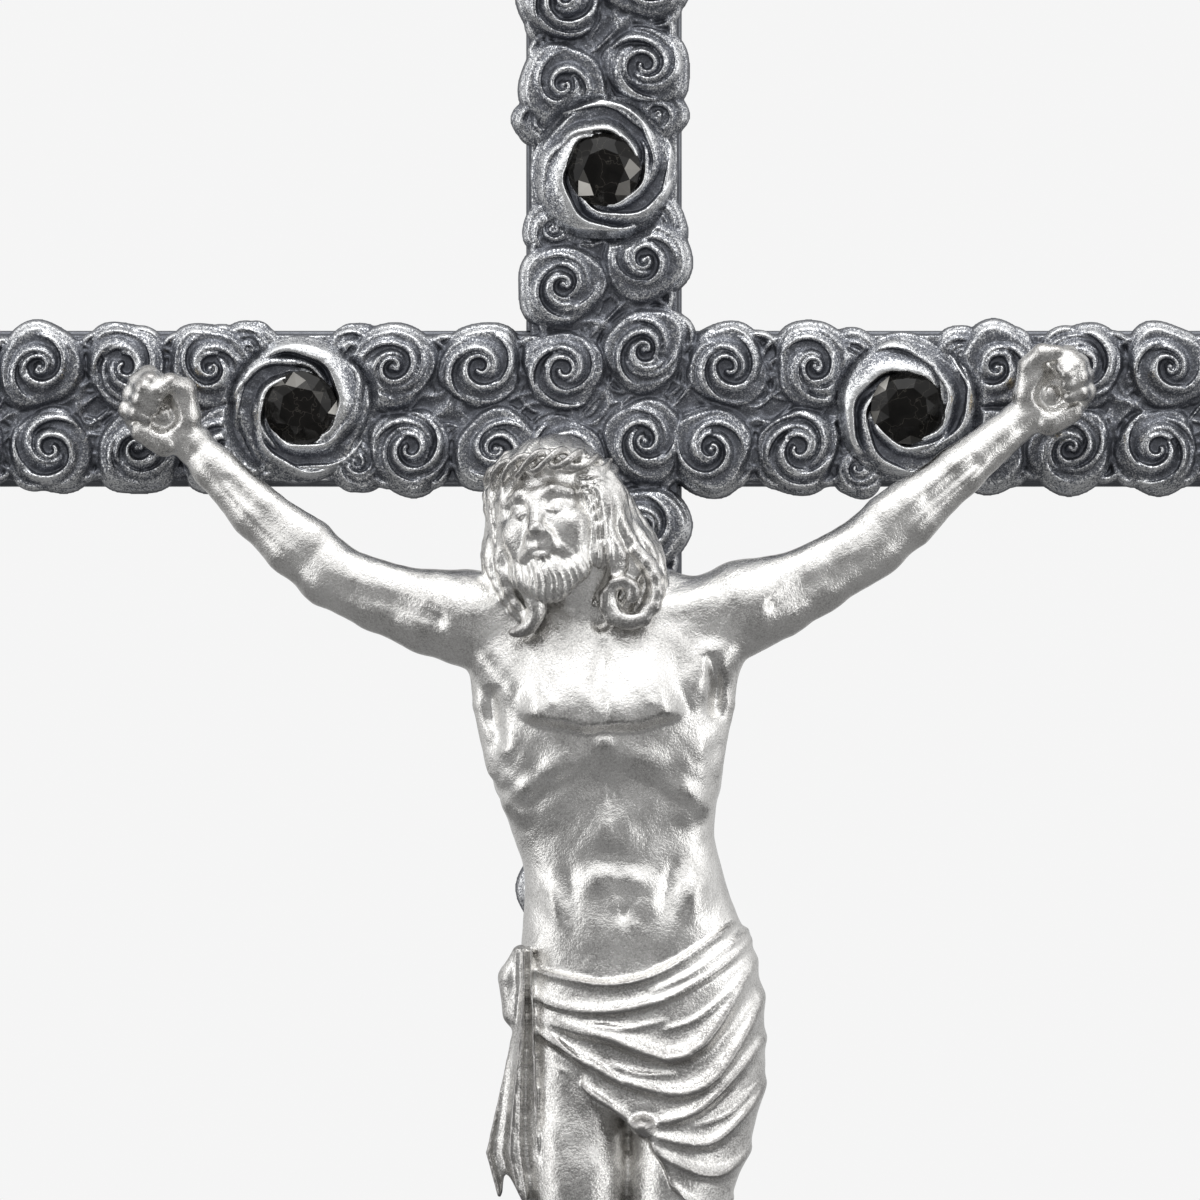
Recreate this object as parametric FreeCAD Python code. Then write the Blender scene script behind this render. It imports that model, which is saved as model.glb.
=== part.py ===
import FreeCAD, Part

import math
import os

# A standing altar cross. Millimetres, +Z up, +X to the right seen from the front, and the
# front faces -Y. The origin is under the base, at the middle of its footprint.

V = FreeCAD.Vector
TINY = 0.01

# --- driving dimensions -------------------------------------------------------------------
CROSS_Z = 184.0  # height of the crossing's centre
HALF_SPAN = 70.0  # crossing centre to the end of an arm
TOP_ARM = 64.0  # crossing centre to the top end
BEAM_W = 15.6
BEAM_T = 4.4
BEAM_FRONT = 2.0  # Y of the beams' front face
BEAM_BACK = BEAM_FRONT + BEAM_T
BEAM_MID = BEAM_FRONT + BEAM_T / 2
BEAM_EDGE = 0.45  # rounding of the beams' edges
TANG_BOTTOM = 13.0  # the upright's lower end, inside the socket

# rose relief on the front of the beams
PLATE_W = 14.6
PLATE_T = 1.0
ROSE_R = 4.35
ROSE_H = 2.3  # rose tops above the plate
ROW_OFFSET = 4.15  # the two rows run this far either side of a beam's centre line
ROSE_PITCH = 8.7
ROSE_LAP = ROSE_R + 0.3  # a rose this near a panel's edge also touches the panel
ROSE_OVERHANG = 1.2  # how far roses stand out over a beam's edge
RELIEF_PEG_R = 1.0

# gem settings and stones
GEM_SIDE = 30.3  # along each arm from the crossing's centre
GEM_TOP = 23.8
GEM_FOOT = -137.0
GEM_R = 3.6
GIRDLE_Y = -0.9
GIRDLE_T = 0.15
CROWN_H = 1.0
PAVILION_H = 2.6
GEM_SIDES = 16
TABLE_SHARE = 0.56  # the table's radius against the girdle's
GEM_PLAY = 0.02  # between the girdle and its setting
SETTING_R = 6.3  # the part that goes through the relief
SETTING_RIM_R = 7.4
SETTING_RIM_H = 1.3
SETTING_PEG_R = 1.5

# figure: where its three castings meet, and the threaded posts behind it
SHOULDER_X = 14.0
TENON_R = 1.6
TENON_LENGTH = 3.0
POST_R = 1.0
NUT_R = 2.1
NUT_T = 1.5

# base, from the floor up
PAD = (80.0, 58.0, 1.0)
PLINTH = (84.0, 62.0)
PLINTH_BOTTOM, PLINTH_TOP = 1.0, 11.0
STEP = (62.0, 42.0)
STEP_TOP = 19.0
BLOCK = (42.0, 26.0)
BLOCK_TOP = 31.0
COLLAR = (23.0, 12.0)
COLLAR_TOP = 36.6
RELIEF_BOTTOM = COLLAR_TOP + 0.4
COVER = (74.0, 52.0, 1.5)
POCKET = (62.0, 42.0)
POCKET_TOP = 8.0
BOLT_R = 1.5
BOLT_HEAD_R = 2.8
COVER_SCREW_AT = (34.0, 18.0)
PLINTH_COVE = 4.6
STEP_ROUND = 2.6
BLOCK_COVE = 9.0
BLOCK_COVE_OUT = 1.5  # the cove's centre lies this far outside the block
COLLAR_ROUND = 1.6
SCREW_HEAD_R, SCREW_R, SCREW_LENGTH = 2.4, 1.2, 6.0
SCREW_SLOT = 0.5
WASHER_R, WASHER_T = 4.0, 0.8
BOLT_HEAD_H = 3.0
BOLT_TOP = 22.0
HEX_R, HEX_DEEP = 1.4, 1.6
BALLAST_PLAY = 0.5
BALLAST_HOLE_R = 5.0  # clears the tie bolt's washer and head


# --- shapes that several pieces use ---------------------------------------------------------
def slab(size_x, size_y, low, high, centre_y=0.0, corner=0.0):
    """An upright prism on a rectangle, with its four vertical edges rounded."""
    box = Part.makeBox(
        size_x, size_y, high - low, V(-size_x / 2, centre_y - size_y / 2, low)
    )
    if corner:
        upright = [e for e in box.Edges if abs(e.tangentAt(0).z) > 0.9]
        box = box.makeFillet(corner, upright)
    return box


def box_between(low, high):
    size = V(*high) - V(*low)
    return Part.makeBox(size.x, size.y, size.z, V(*low))


def peg(x, z, radius, front, back):
    """A cylinder along Y, from the height front to the height back."""
    return Part.makeCylinder(radius, back - front, V(x, front, z), V(0, 1, 0))


def turned(profile, x, z):
    """Revolves an outline of (radius, y) points about the line along Y through x, z."""
    points = [V(r, y, 0) for r, y in profile]
    face = Part.Face(Part.makePolygon(points + points[:1]))
    solid = face.revolve(V(0, 0, 0), V(0, 1, 0), 360)
    solid.translate(V(x, 0, z))
    return solid


def oval(centre, across, up, half_across, half_up, sides):
    """A closed many-sided oval in the plane of two unit vectors."""
    points = []
    for i in range(sides):
        turn = 2 * math.pi * (i + 0.3) / sides
        points.append(
            centre + across * (half_across * math.cos(turn)) + up * (half_up * math.sin(turn))
        )
    return Part.makePolygon(points + points[:1])


def tube(stations):
    """A many-sided limb through (point, radius) stations."""
    points = [V(*point) for point, _ in stations]
    wires = []
    for i, (_, radius) in enumerate(stations):
        along = (points[min(i + 1, len(points) - 1)] - points[max(i - 1, 0)]).normalize()
        across = V(0, 1, 0).cross(along).normalize()
        wires.append(oval(points[i], across, along.cross(across), radius, radius, 16))
    return Part.makeLoft(wires, True, True)


def stack(sections):
    """A body through level ovals, each given as (z, x, y, half width, half depth)."""
    wires = [
        oval(V(x, y, CROSS_Z + z), V(1, 0, 0), V(0, 1, 0), half_x, half_y, 24)
        for z, x, y, half_x, half_y in sections
    ]
    return Part.makeLoft(wires, True, True)


def joined(pieces):
    return pieces[0].multiFuse(pieces[1:]).removeSplitter()


def welded(pieces):
    """Fuses organic pieces one after another, which suits balls and cones best."""
    whole = pieces[0]
    for piece in pieces[1:]:
        whole = whole.fuse(piece)
    return whole


def save(name, shape):
    os.makedirs("parts", exist_ok=True)
    assert shape.isValid(), name
    shape.exportStep("parts/%s.step" % name)
    print("%-18s %9.1f mm3, %d solid(s)" % (name, shape.Volume, len(shape.Solids)))


# --- where the roses, settings and posts are -------------------------------------------------
def run(start, step, count):
    return [start + step * i for i in range(count)]


def arm_roses():
    """Rose centres on the right arm, as (x, z) from the crossing's centre."""
    upper = run(12.4, ROSE_PITCH, 2) + run(GEM_SIDE + 9.0, 8.6, 4)
    lower = run(10.7, ROSE_PITCH, 2) + run(GEM_SIDE + 7.6, ROSE_PITCH, 4)
    return [(x, ROW_OFFSET) for x in upper] + [(x, -ROW_OFFSET) for x in lower]


def upright_roses():
    """Rose centres on the upright, as (x, z) from the crossing's centre."""
    right = run(5.8, 9.0, 2) + run(34.3, ROSE_PITCH, 4) + run(-3.2, -8.8, 14)
    left = run(3.8, 8.5, 2) + run(32.3, ROSE_PITCH, 4) + run(-4.6, -8.8, 14)
    return [(ROW_OFFSET, z) for z in right] + [(-ROW_OFFSET, z) for z in left]


SETTINGS = {
    "left": (-GEM_SIDE, 0.0),
    "right": (GEM_SIDE, 0.0),
    "upper": (0.0, GEM_TOP),
    "foot": (0.0, GEM_FOOT),
}

# threaded posts as (x, z, y of the front end, which is inside the figure)
POSTS = {
    "hand_post_left": (-44.0, -0.6, -3.4),
    "hand_post_right": (43.9, 0.2, -3.4),
    "hip_post": (1.5, -60.0, -7.0),
    "foot_post": (1.2, -116.0, -5.6),
}


# --- beams --------------------------------------------------------------------------------
def relief_pegs():
    """Places (x, z) of the cast pegs behind each relief panel."""
    return {
        "relief_left": [(-59.0, 0.0), (-17.0, 0.0)],
        "relief_right": [(59.0, 0.0), (17.0, 0.0)],
        "relief_upper": [(0.0, 58.0), (0.0, 38.0)],
        "relief_crossing": [(0.0, 0.0)],
        "relief_shaft": [(0.0, -20.0), (0.0, -85.0), (0.0, -125.0)],
    }


def drilled(beam):
    """The beam with every peg and post hole that falls on it."""
    holes = [(x, z, RELIEF_PEG_R) for spots in relief_pegs().values() for x, z in spots]
    holes += [(x, z, SETTING_PEG_R) for x, z in SETTINGS.values()]
    holes += [(x, z, POST_R) for x, z, _ in POSTS.values()]
    for x, z, radius in holes:
        beam = beam.cut(peg(x, CROSS_Z + z, radius, BEAM_FRONT - 1, BEAM_BACK + 1))
    return beam


def bar(low, high):
    """A flat bar with every edge slightly rounded."""
    box = box_between(low, high)
    return box.makeFillet(BEAM_EDGE, box.Edges)


def beams():
    half = BEAM_W / 2
    lap_low, lap_high = CROSS_Z - half, CROSS_Z + half
    upright = bar((-half, BEAM_FRONT, TANG_BOTTOM), (half, BEAM_BACK, CROSS_Z + TOP_ARM))
    upright = upright.cut(
        box_between((-half, BEAM_FRONT, lap_low), (half, BEAM_MID, lap_high))
    )
    bolt = Part.makeCylinder(BOLT_R, 9.0, V(0, BEAM_MID, TANG_BOTTOM))
    cross = bar((-HALF_SPAN, BEAM_FRONT, lap_low), (HALF_SPAN, BEAM_BACK, lap_high))
    cross = cross.cut(box_between((-half, BEAM_MID, lap_low), (half, BEAM_BACK, lap_high)))
    save("upright_beam", drilled(upright.cut(bolt)))
    save("cross_beam", drilled(cross))


# --- rose relief ----------------------------------------------------------------------------
def rose(x, z):
    """A stepped boss: a ring of outer petals, an inner ring and a bud."""
    plate = BEAM_FRONT - PLATE_T
    outline = [
        (0, BEAM_FRONT),
        (ROSE_R - 0.2, BEAM_FRONT),
        (ROSE_R, plate),
        (ROSE_R - 0.4, plate - ROSE_H * 0.6),
        (ROSE_R - 1.3, plate - ROSE_H * 0.5),
        (ROSE_R - 1.7, plate - ROSE_H * 0.9),
        (ROSE_R - 2.5, plate - ROSE_H * 0.75),
        (1.0, plate - ROSE_H),
        (0, plate - ROSE_H),
    ]
    return turned(outline, x, CROSS_Z + z)


def relief_panel(name, low, high):
    """One panel between two (x, z) corners, with its roses, gem openings and pegs.

    Roses stand out a little over the beams' long edges, never over the joint to another panel.
    """
    deep = BEAM_FRONT - PLATE_T - ROSE_H - 1.0
    shape = box_between(
        (low[0], BEAM_FRONT - PLATE_T, CROSS_Z + low[1]),
        (high[0], BEAM_FRONT, CROSS_Z + high[1]),
    )
    on_arm = name in ("relief_left", "relief_right")
    lap_x, lap_z = (0, ROSE_LAP) if on_arm else (ROSE_LAP, 0)
    centres = upright_roses() + [(side * x, z) for x, z in arm_roses() for side in (-1, 1)]
    bosses = [
        rose(x, z)
        for x, z in centres
        if low[0] - lap_x < x < high[0] + lap_x and low[1] - lap_z < z < high[1] + lap_z
    ]
    edge = BEAM_W / 2 + ROSE_OVERHANG
    across, up = (low[0], high[0]), (low[1], high[1])
    if on_arm:
        up = (-edge, edge)
    elif name != "relief_crossing":
        across = (-edge, edge)
    limit = box_between((across[0], deep, CROSS_Z + up[0]), (across[1], BEAM_FRONT, CROSS_Z + up[1]))
    shape = joined([shape] + bosses).common(limit)
    for x, z in SETTINGS.values():
        shape = shape.cut(peg(x, CROSS_Z + z, SETTING_R, deep, BEAM_FRONT + 1))
        rim = peg(x, CROSS_Z + z, SETTING_RIM_R, deep, BEAM_FRONT - PLATE_T - TINY)
        shape = shape.cut(rim)
    for x, z, _ in POSTS.values():
        shape = shape.cut(peg(x, CROSS_Z + z, POST_R, deep, BEAM_FRONT + 1))
    pegs = [
        peg(x, CROSS_Z + z, RELIEF_PEG_R, BEAM_FRONT - PLATE_T, BEAM_BACK)
        for x, z in relief_pegs()[name]
    ]
    shape = joined([shape] + pegs)
    largest = max(shape.Solids, key=lambda s: s.Volume)
    save(name, largest)


def relief():
    half, half_plate = BEAM_W / 2, PLATE_W / 2
    relief_panel("relief_left", (-HALF_SPAN + 0.3, -half_plate), (-half, half_plate))
    relief_panel("relief_right", (half, -half_plate), (HALF_SPAN - 0.3, half_plate))
    relief_panel("relief_crossing", (-half, -half), (half, half))
    relief_panel("relief_upper", (-half_plate, half), (half_plate, TOP_ARM - 0.3))
    relief_panel("relief_shaft", (-half_plate, RELIEF_BOTTOM - CROSS_Z), (half_plate, -half))


# --- settings and stones ------------------------------------------------------------------
def setting(x, z):
    """A cup on a riveted peg; its rim of petals stands over the relief round it."""
    plate = BEAM_FRONT - PLATE_T
    rim_front = plate - ROSE_H - 0.2
    outline = [
        (0, BEAM_BACK + 0.6),
        (SETTING_PEG_R + 0.7, BEAM_BACK + 0.6),
        (SETTING_PEG_R + 0.7, BEAM_BACK),
        (SETTING_PEG_R, BEAM_BACK),
        (SETTING_PEG_R, BEAM_FRONT),
        (SETTING_R, BEAM_FRONT),
        (SETTING_R, plate - TINY),
        (SETTING_RIM_R, plate - TINY),
        (SETTING_RIM_R, rim_front + SETTING_RIM_H),
        (SETTING_RIM_R - 1.4, rim_front),
        (GEM_R + 0.6, rim_front),
        (GEM_R, GIRDLE_Y - GIRDLE_T / 2 - CROWN_H * 0.4),
        (GEM_R, GIRDLE_Y + GIRDLE_T / 2),
        (0, GIRDLE_Y + GIRDLE_T / 2 + PAVILION_H + 0.15),
    ]
    return turned(outline, x, CROSS_Z + z)


def gem(x, z):
    """A round stone: a crown of facets round a flat table, a girdle and a pointed pavilion."""

    def ring(radius, y):
        turn = [2 * math.pi * i / GEM_SIDES for i in range(GEM_SIDES)]
        points = [V(x + radius * math.cos(t), y, CROSS_Z + z + radius * math.sin(t)) for t in turn]
        return Part.makePolygon(points + points[:1])

    girdle_front, girdle_back = GIRDLE_Y - GIRDLE_T / 2, GIRDLE_Y + GIRDLE_T / 2
    radius = GEM_R - GEM_PLAY
    crown = Part.makeLoft(
        [ring(radius, girdle_front), ring(radius * TABLE_SHARE, girdle_front - CROWN_H)], True, True
    )
    girdle = Part.makeLoft([ring(radius, girdle_front), ring(radius, girdle_back)], True, True)
    pavilion = Part.makeLoft(
        [ring(radius, girdle_back), ring(0.05, girdle_back + PAVILION_H)], True, True
    )
    return joined([crown, girdle, pavilion])


def settings_and_gems():
    for name, (x, z) in SETTINGS.items():
        save("setting_" + name, setting(x, z))
        save("gem_" + name, gem(x, z))


# --- figure ---------------------------------------------------------------------------------
def at(x, y, z):
    """A point given from the crossing's centre in X and Z."""
    return (x, y, CROSS_Z + z)


HEAD_BALLS = [
    (at(-2.6, -12.4, -9.2), 6.9),
    (at(-4.0, -14.6, -13.2), 5.0),
    (at(0.4, -9.6, -9.6), 6.4),
    (at(3.0, -9.4, -16.2), 4.4),
]
NECK = [(at(-1.2, -11.0, -15.0), 4.2), (at(0.2, -9.2, -25.0), 5.0)]
TORSO = [
    (-20.0, 0.3, -8.8, 7.5, 4.2),
    (-22.6, 0.3, -9.0, 13.0, 5.6),
    (-28.0, 0.3, -9.8, 13.2, 6.8),
    (-34.0, 0.4, -10.0, 12.0, 6.8),
    (-40.0, 0.9, -9.6, 10.7, 6.2),
    (-46.0, 1.2, -9.4, 9.9, 5.6),
    (-52.0, 1.9, -9.6, 10.4, 5.9),
    (-57.0, 2.6, -9.8, 11.2, 6.6),
]
CLOTH = [
    (-54.0, 2.8, -9.9, 11.5, 7.0),
    (-60.0, 2.9, -10.2, 12.6, 7.8),
    (-68.0, 2.9, -10.6, 13.0, 8.0),
    (-74.0, 2.5, -11.0, 12.6, 7.6),
    (-77.5, 2.0, -11.2, 10.8, 7.0),
]
LEG_LEFT = [
    (at(-2.6, -10.5, -70.0), 5.4),
    (at(-2.6, -15.2, -92.0), 4.2),
    (at(-2.2, -11.0, -101.0), 3.7),
    (at(0.4, -8.6, -116.0), 2.3),
    (at(0.9, -8.6, -127.0), 2.1),
]
LEG_RIGHT = [
    (at(6.2, -10.5, -70.0), 5.6),
    (at(5.6, -15.4, -91.5), 4.3),
    (at(5.0, -10.6, -101.0), 3.7),
    (at(1.8, -5.4, -115.0), 2.3),
    (at(1.6, -5.0, -125.5), 2.1),
]
SHOULDERS = {"left": at(-13.0, -9.0, -21.6), "right": at(13.2, -9.0, -20.4)}
ARMS = {
    "left": [
        (at(-8.0, -9.2, -23.4), 4.0),
        (at(-13.0, -9.0, -22.0), 4.5),
        (at(-19.0, -8.6, -20.0), 3.9),
        (at(-26.9, -7.6, -16.4), 3.4),
        (at(-34.0, -6.0, -10.6), 2.9),
        (at(-41.2, -4.4, -3.4), 2.0),
        (at(-43.8, -4.0, -0.6), 2.8),
        (at(-46.4, -4.2, 2.8), 2.4),
    ],
    "right": [
        (at(8.2, -9.2, -22.2), 4.0),
        (at(13.2, -9.0, -20.8), 4.5),
        (at(18.5, -8.6, -19.6), 3.8),
        (at(25.9, -7.6, -14.6), 3.4),
        (at(33.0, -6.0, -9.2), 2.9),
        (at(40.4, -4.4, -3.0), 2.0),
        (at(43.6, -4.0, 0.2), 2.8),
        (at(47.0, -4.2, 3.4), 2.4),
    ],
}


def post(name):
    x, z, front = POSTS[name]
    return peg(x, CROSS_Z + z, POST_R, front, BEAM_BACK + NUT_T + 0.4)


def figure():
    far = 40.0
    low, high = CROSS_Z - 140, CROSS_Z + 20
    back = BEAM_FRONT - PLATE_T - ROSE_H
    trunk = [stack(TORSO), stack(CLOTH), tube(NECK), tube(LEG_LEFT), tube(LEG_RIGHT)]
    trunk += [Part.makeSphere(radius, V(*point)) for point, radius in HEAD_BALLS]
    inserted = [post("hip_post"), post("foot_post")]
    for side, sign in (("left", -1), ("right", 1)):
        whole_arm = tube(ARMS[side])
        trunk.append(whole_arm)
        shoulder = SHOULDERS[side]
        root = V(sign * SHOULDER_X, shoulder[1], shoulder[2])
        tenon = Part.makeCylinder(TENON_R, TENON_LENGTH, root, V(-sign, 0, 0))
        inserted.append(tenon)
        edge, end = sorted((sign * SHOULDER_X, sign * HALF_SPAN))
        arm = whole_arm.common(box_between((edge, -far, low), (end, back, high)))
        save("corpus_arm_" + side, arm.fuse(tenon).cut(post("hand_post_" + side)))
    body = welded(trunk)
    body = body.common(box_between((-SHOULDER_X, -far, low), (SHOULDER_X, back, high)))
    for piece in inserted:
        body = body.cut(piece)
    save("corpus_body", body)


def posts_and_nuts():
    nuts = []
    for name, (x, z, _) in POSTS.items():
        save(name, post(name))
        nut = turned(
            [
                (POST_R, BEAM_BACK),
                (NUT_R, BEAM_BACK),
                (NUT_R, BEAM_BACK + NUT_T * 0.6),
                (NUT_R - 0.6, BEAM_BACK + NUT_T),
                (POST_R, BEAM_BACK + NUT_T),
            ],
            x,
            CROSS_Z + z,
        )
        nuts.append(nut)
    save("post_nuts", Part.makeCompound(nuts))


# --- base -----------------------------------------------------------------------------------
def coved(shape, size, centre_y, level, radius):
    """Scoops a hollow quarter round along the four top edges of a block."""
    half_x, half_y = size[0] / 2, size[1] / 2
    length = max(size) + 20
    for sign in (-1, 1):
        along_x = Part.makeCylinder(
            radius, length, V(-length / 2, centre_y + sign * half_y, level), V(1, 0, 0)
        )
        along_y = Part.makeCylinder(
            radius, length, V(sign * half_x, centre_y - length / 2, level), V(0, 1, 0)
        )
        shape = shape.cut(along_x).cut(along_y)
    return shape


def rounded_rim(shape, radius, level):
    """Rounds the outer edges at one height."""
    box = shape.BoundBox
    outer = []
    for edge in shape.Edges:
        ends = [v.Point for v in edge.Vertexes]
        at_level = all(abs(p.z - level) < TINY for p in ends)
        middle = edge.CenterOfMass
        outside = min(
            box.XMax - abs(middle.x), min(box.YMax - middle.y, middle.y - box.YMin)
        )
        if at_level and outside < 4.0:
            outer.append(edge)
    return shape.makeFillet(radius, outer)


def socket_hole(shape):
    """Cuts the rectangular hole that holds the upright."""
    half = BEAM_W / 2
    return shape.cut(
        box_between((-half, BEAM_FRONT, TANG_BOTTOM), (half, BEAM_BACK, COLLAR_TOP + 5))
    )


def base():
    bolt_hole = Part.makeCylinder(BOLT_R, 20.0, V(0, BEAM_MID, 2.0))

    plinth = slab(*PLINTH, PLINTH_BOTTOM, PLINTH_TOP, corner=1.2)
    plinth = coved(plinth, PLINTH, 0.0, PLINTH_TOP, PLINTH_COVE)
    cover_low = PLINTH_BOTTOM + COVER[2]
    plinth = plinth.cut(slab(COVER[0], COVER[1], PLINTH_BOTTOM, cover_low, corner=2.0))
    plinth = plinth.cut(slab(*POCKET, cover_low, POCKET_TOP, corner=3.0)).cut(bolt_hole)

    step = slab(*STEP, PLINTH_TOP, STEP_TOP, corner=1.0)
    step = rounded_rim(step, STEP_ROUND, STEP_TOP)
    step = socket_hole(step).cut(bolt_hole)

    block = slab(*BLOCK, STEP_TOP, BLOCK_TOP, centre_y=BEAM_MID, corner=0.8)
    wide = [size + 2 * BLOCK_COVE_OUT for size in BLOCK]
    block = coved(block, wide, BEAM_MID, BLOCK_TOP, BLOCK_COVE)
    block = socket_hole(block)

    collar = slab(*COLLAR, BLOCK_TOP, COLLAR_TOP, centre_y=BEAM_MID, corner=2.0)
    rims = [e for e in collar.Edges if abs(e.CenterOfMass.z - (BLOCK_TOP + COLLAR_TOP) / 2) > 2]
    collar = socket_hole(collar.makeFillet(COLLAR_ROUND, rims))

    screws, holes = [], []
    for sx in (-1, 1):
        for sy in (-1, 1):
            spot = V(sx * COVER_SCREW_AT[0], sy * COVER_SCREW_AT[1], PLINTH_BOTTOM)
            head = Part.makeCone(SCREW_HEAD_R, SCREW_R, SCREW_R, spot)
            shank = Part.makeCylinder(SCREW_R, SCREW_LENGTH, spot)
            corner = spot - V(SCREW_HEAD_R, SCREW_SLOT / 2, 0)
            slot = Part.makeBox(2 * SCREW_HEAD_R, SCREW_SLOT, SCREW_SLOT, corner)
            holes.append(joined([head, shank]))
            screws.append(joined([head, shank]).cut(slot))
    cover = slab(COVER[0], COVER[1], PLINTH_BOTTOM, cover_low, corner=2.0)
    for hole in holes:
        plinth = plinth.cut(hole)
        cover = cover.cut(hole)

    washer_low = POCKET_TOP - WASHER_T
    head_low = washer_low - BOLT_HEAD_H
    washer = Part.makeCylinder(WASHER_R, WASHER_T, V(0, BEAM_MID, washer_low)).cut(bolt_hole)
    head = Part.makeCylinder(BOLT_HEAD_R, BOLT_HEAD_H, V(0, BEAM_MID, head_low))
    turns = [i * math.pi / 3 for i in range(7)]
    hexagon = Part.makePolygon(
        [V(HEX_R * math.cos(t), BEAM_MID + HEX_R * math.sin(t), head_low) for t in turns]
    )
    head = head.cut(Part.Face(hexagon).extrude(V(0, 0, HEX_DEEP)))
    shank = Part.makeCylinder(BOLT_R, BOLT_TOP - washer_low, V(0, BEAM_MID, washer_low))

    inside = [size - 2 * BALLAST_PLAY for size in POCKET]
    ballast = slab(*inside, cover_low, POCKET_TOP - 0.1, corner=2.5)
    ballast = ballast.cut(Part.makeCylinder(BALLAST_HOLE_R, 20.0, V(0, BEAM_MID, 0.0)))

    save("base_plinth", plinth)
    save("base_step", step)
    save("socket_block", block)
    save("shaft_collar", collar)
    save("ballast_block", ballast)
    save("tie_bolt", joined([head, shank]))
    save("tie_washer", washer)
    save("bottom_cover", cover)
    save("cover_screws", Part.makeCompound(screws))
    save("base_pad", slab(PAD[0], PAD[1], 0.0, PAD[2], corner=2.0))


beams()
relief()
settings_and_gems()
figure()
posts_and_nuts()
base()
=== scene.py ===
import math

import bmesh
import bpy
import numpy as np
import openvdb
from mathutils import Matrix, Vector


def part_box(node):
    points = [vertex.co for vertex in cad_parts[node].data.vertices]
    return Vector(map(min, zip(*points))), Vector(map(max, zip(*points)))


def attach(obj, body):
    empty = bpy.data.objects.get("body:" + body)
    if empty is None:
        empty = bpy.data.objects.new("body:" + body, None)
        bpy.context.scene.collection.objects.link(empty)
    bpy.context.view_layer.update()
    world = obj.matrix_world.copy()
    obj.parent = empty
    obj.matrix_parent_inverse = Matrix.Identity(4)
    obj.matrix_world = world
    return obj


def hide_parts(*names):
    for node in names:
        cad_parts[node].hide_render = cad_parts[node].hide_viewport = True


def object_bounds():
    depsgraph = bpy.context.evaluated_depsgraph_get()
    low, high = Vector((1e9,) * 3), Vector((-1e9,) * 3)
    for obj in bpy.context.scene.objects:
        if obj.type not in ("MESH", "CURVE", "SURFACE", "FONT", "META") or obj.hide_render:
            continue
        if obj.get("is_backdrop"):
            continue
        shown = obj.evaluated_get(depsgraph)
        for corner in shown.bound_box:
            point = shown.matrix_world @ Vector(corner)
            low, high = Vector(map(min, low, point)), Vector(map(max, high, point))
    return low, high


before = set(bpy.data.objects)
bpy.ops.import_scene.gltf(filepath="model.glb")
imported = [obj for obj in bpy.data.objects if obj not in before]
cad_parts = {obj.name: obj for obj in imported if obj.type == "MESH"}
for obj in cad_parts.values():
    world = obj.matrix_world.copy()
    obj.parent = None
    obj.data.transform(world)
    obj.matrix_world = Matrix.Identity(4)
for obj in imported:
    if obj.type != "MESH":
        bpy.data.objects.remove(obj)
cad_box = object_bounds()

# Everything below is worked out in millimetres from the crossing's centre: X to the right,
# Z up, and depth Y as in the model, with -Y towards the viewer.
MM = 0.001
beam_low, beam_high = (np.array(c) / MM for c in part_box("cross_beam"))
CROSS_Z = (beam_low[2] + beam_high[2]) / 2
BEAM_FRONT, BEAM_BACK = beam_low[1], beam_high[1]
BEAM_MID = (BEAM_FRONT + BEAM_BACK) / 2
BEAM_HALF = (beam_high[2] - beam_low[2]) / 2
HALF_SPAN = beam_high[0]
TOP_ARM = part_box("upright_beam")[1].z / MM - CROSS_Z
SETTINGS = ("left", "right", "upper", "foot")


def centre(node):
    """Middle of a CAD node's box, in millimetres from the crossing's centre."""
    low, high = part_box(node)
    middle = np.array((low + high) / 2) / MM
    return middle - np.array((0, 0, CROSS_Z))


# --- camera, floor and light ---
VIEW_WIDTH = 120.0  # width of the frame at the beams, mm
VIEW_X, VIEW_DOWN = -0.4, 19.2  # the frame's middle against the crossing, mm
CAMERA_AWAY = 800.0
AIM_DOWN = 30  # the lamps point this far under the crossing, mm
FLOOR_FROM, FLOOR_TO = 0.20, 0.55  # metres from the middle: the floor fades out between them
FLOOR_DROP = 0.0002  # metres, so that the floor and the pad don't share a plane
LAMPS = (  # name, then place and size in metres, and power in watts
    ("top", (0.0, -0.28, 0.80), (0.55, 0.40), 1.1),
    ("side_left", (-0.62, -0.30, 0.26), (0.36, 0.60), 0.55),
    ("side_right", (0.62, -0.36, 0.22), (0.30, 0.60), 0.5),
    ("front_low", (0.05, -0.75, -0.02), (0.34, 0.12), 0.04),
)


def placed(name, data):
    """A new object with some data, in the scene."""
    made = bpy.data.objects.new(name, data)
    bpy.context.scene.collection.objects.link(made)
    return made


def camera():
    data = bpy.data.cameras.new("camera")
    data.sensor_width = 36.0
    data.lens = data.sensor_width * CAMERA_AWAY / VIEW_WIDTH
    data.clip_start, data.clip_end = 0.01, 20.0
    eye = placed("camera", data)
    eye.location = (VIEW_X * MM, -CAMERA_AWAY * MM, (CROSS_Z - VIEW_DOWN) * MM)
    eye.rotation_euler = (math.pi / 2, 0, 0)
    bpy.context.scene.camera = eye


def soft_lights():
    aim = Vector((0, 0, (CROSS_Z - AIM_DOWN) * MM))
    for name, place, size, power in LAMPS:
        data = bpy.data.lights.new(name, "AREA")
        data.shape = "RECTANGLE"
        data.size, data.size_y = size
        data.energy = power
        lamp = placed(name, data)
        lamp.location = place
        lamp.rotation_euler = (aim - Vector(place)).to_track_quat("-Z", "Y").to_euler()


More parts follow.
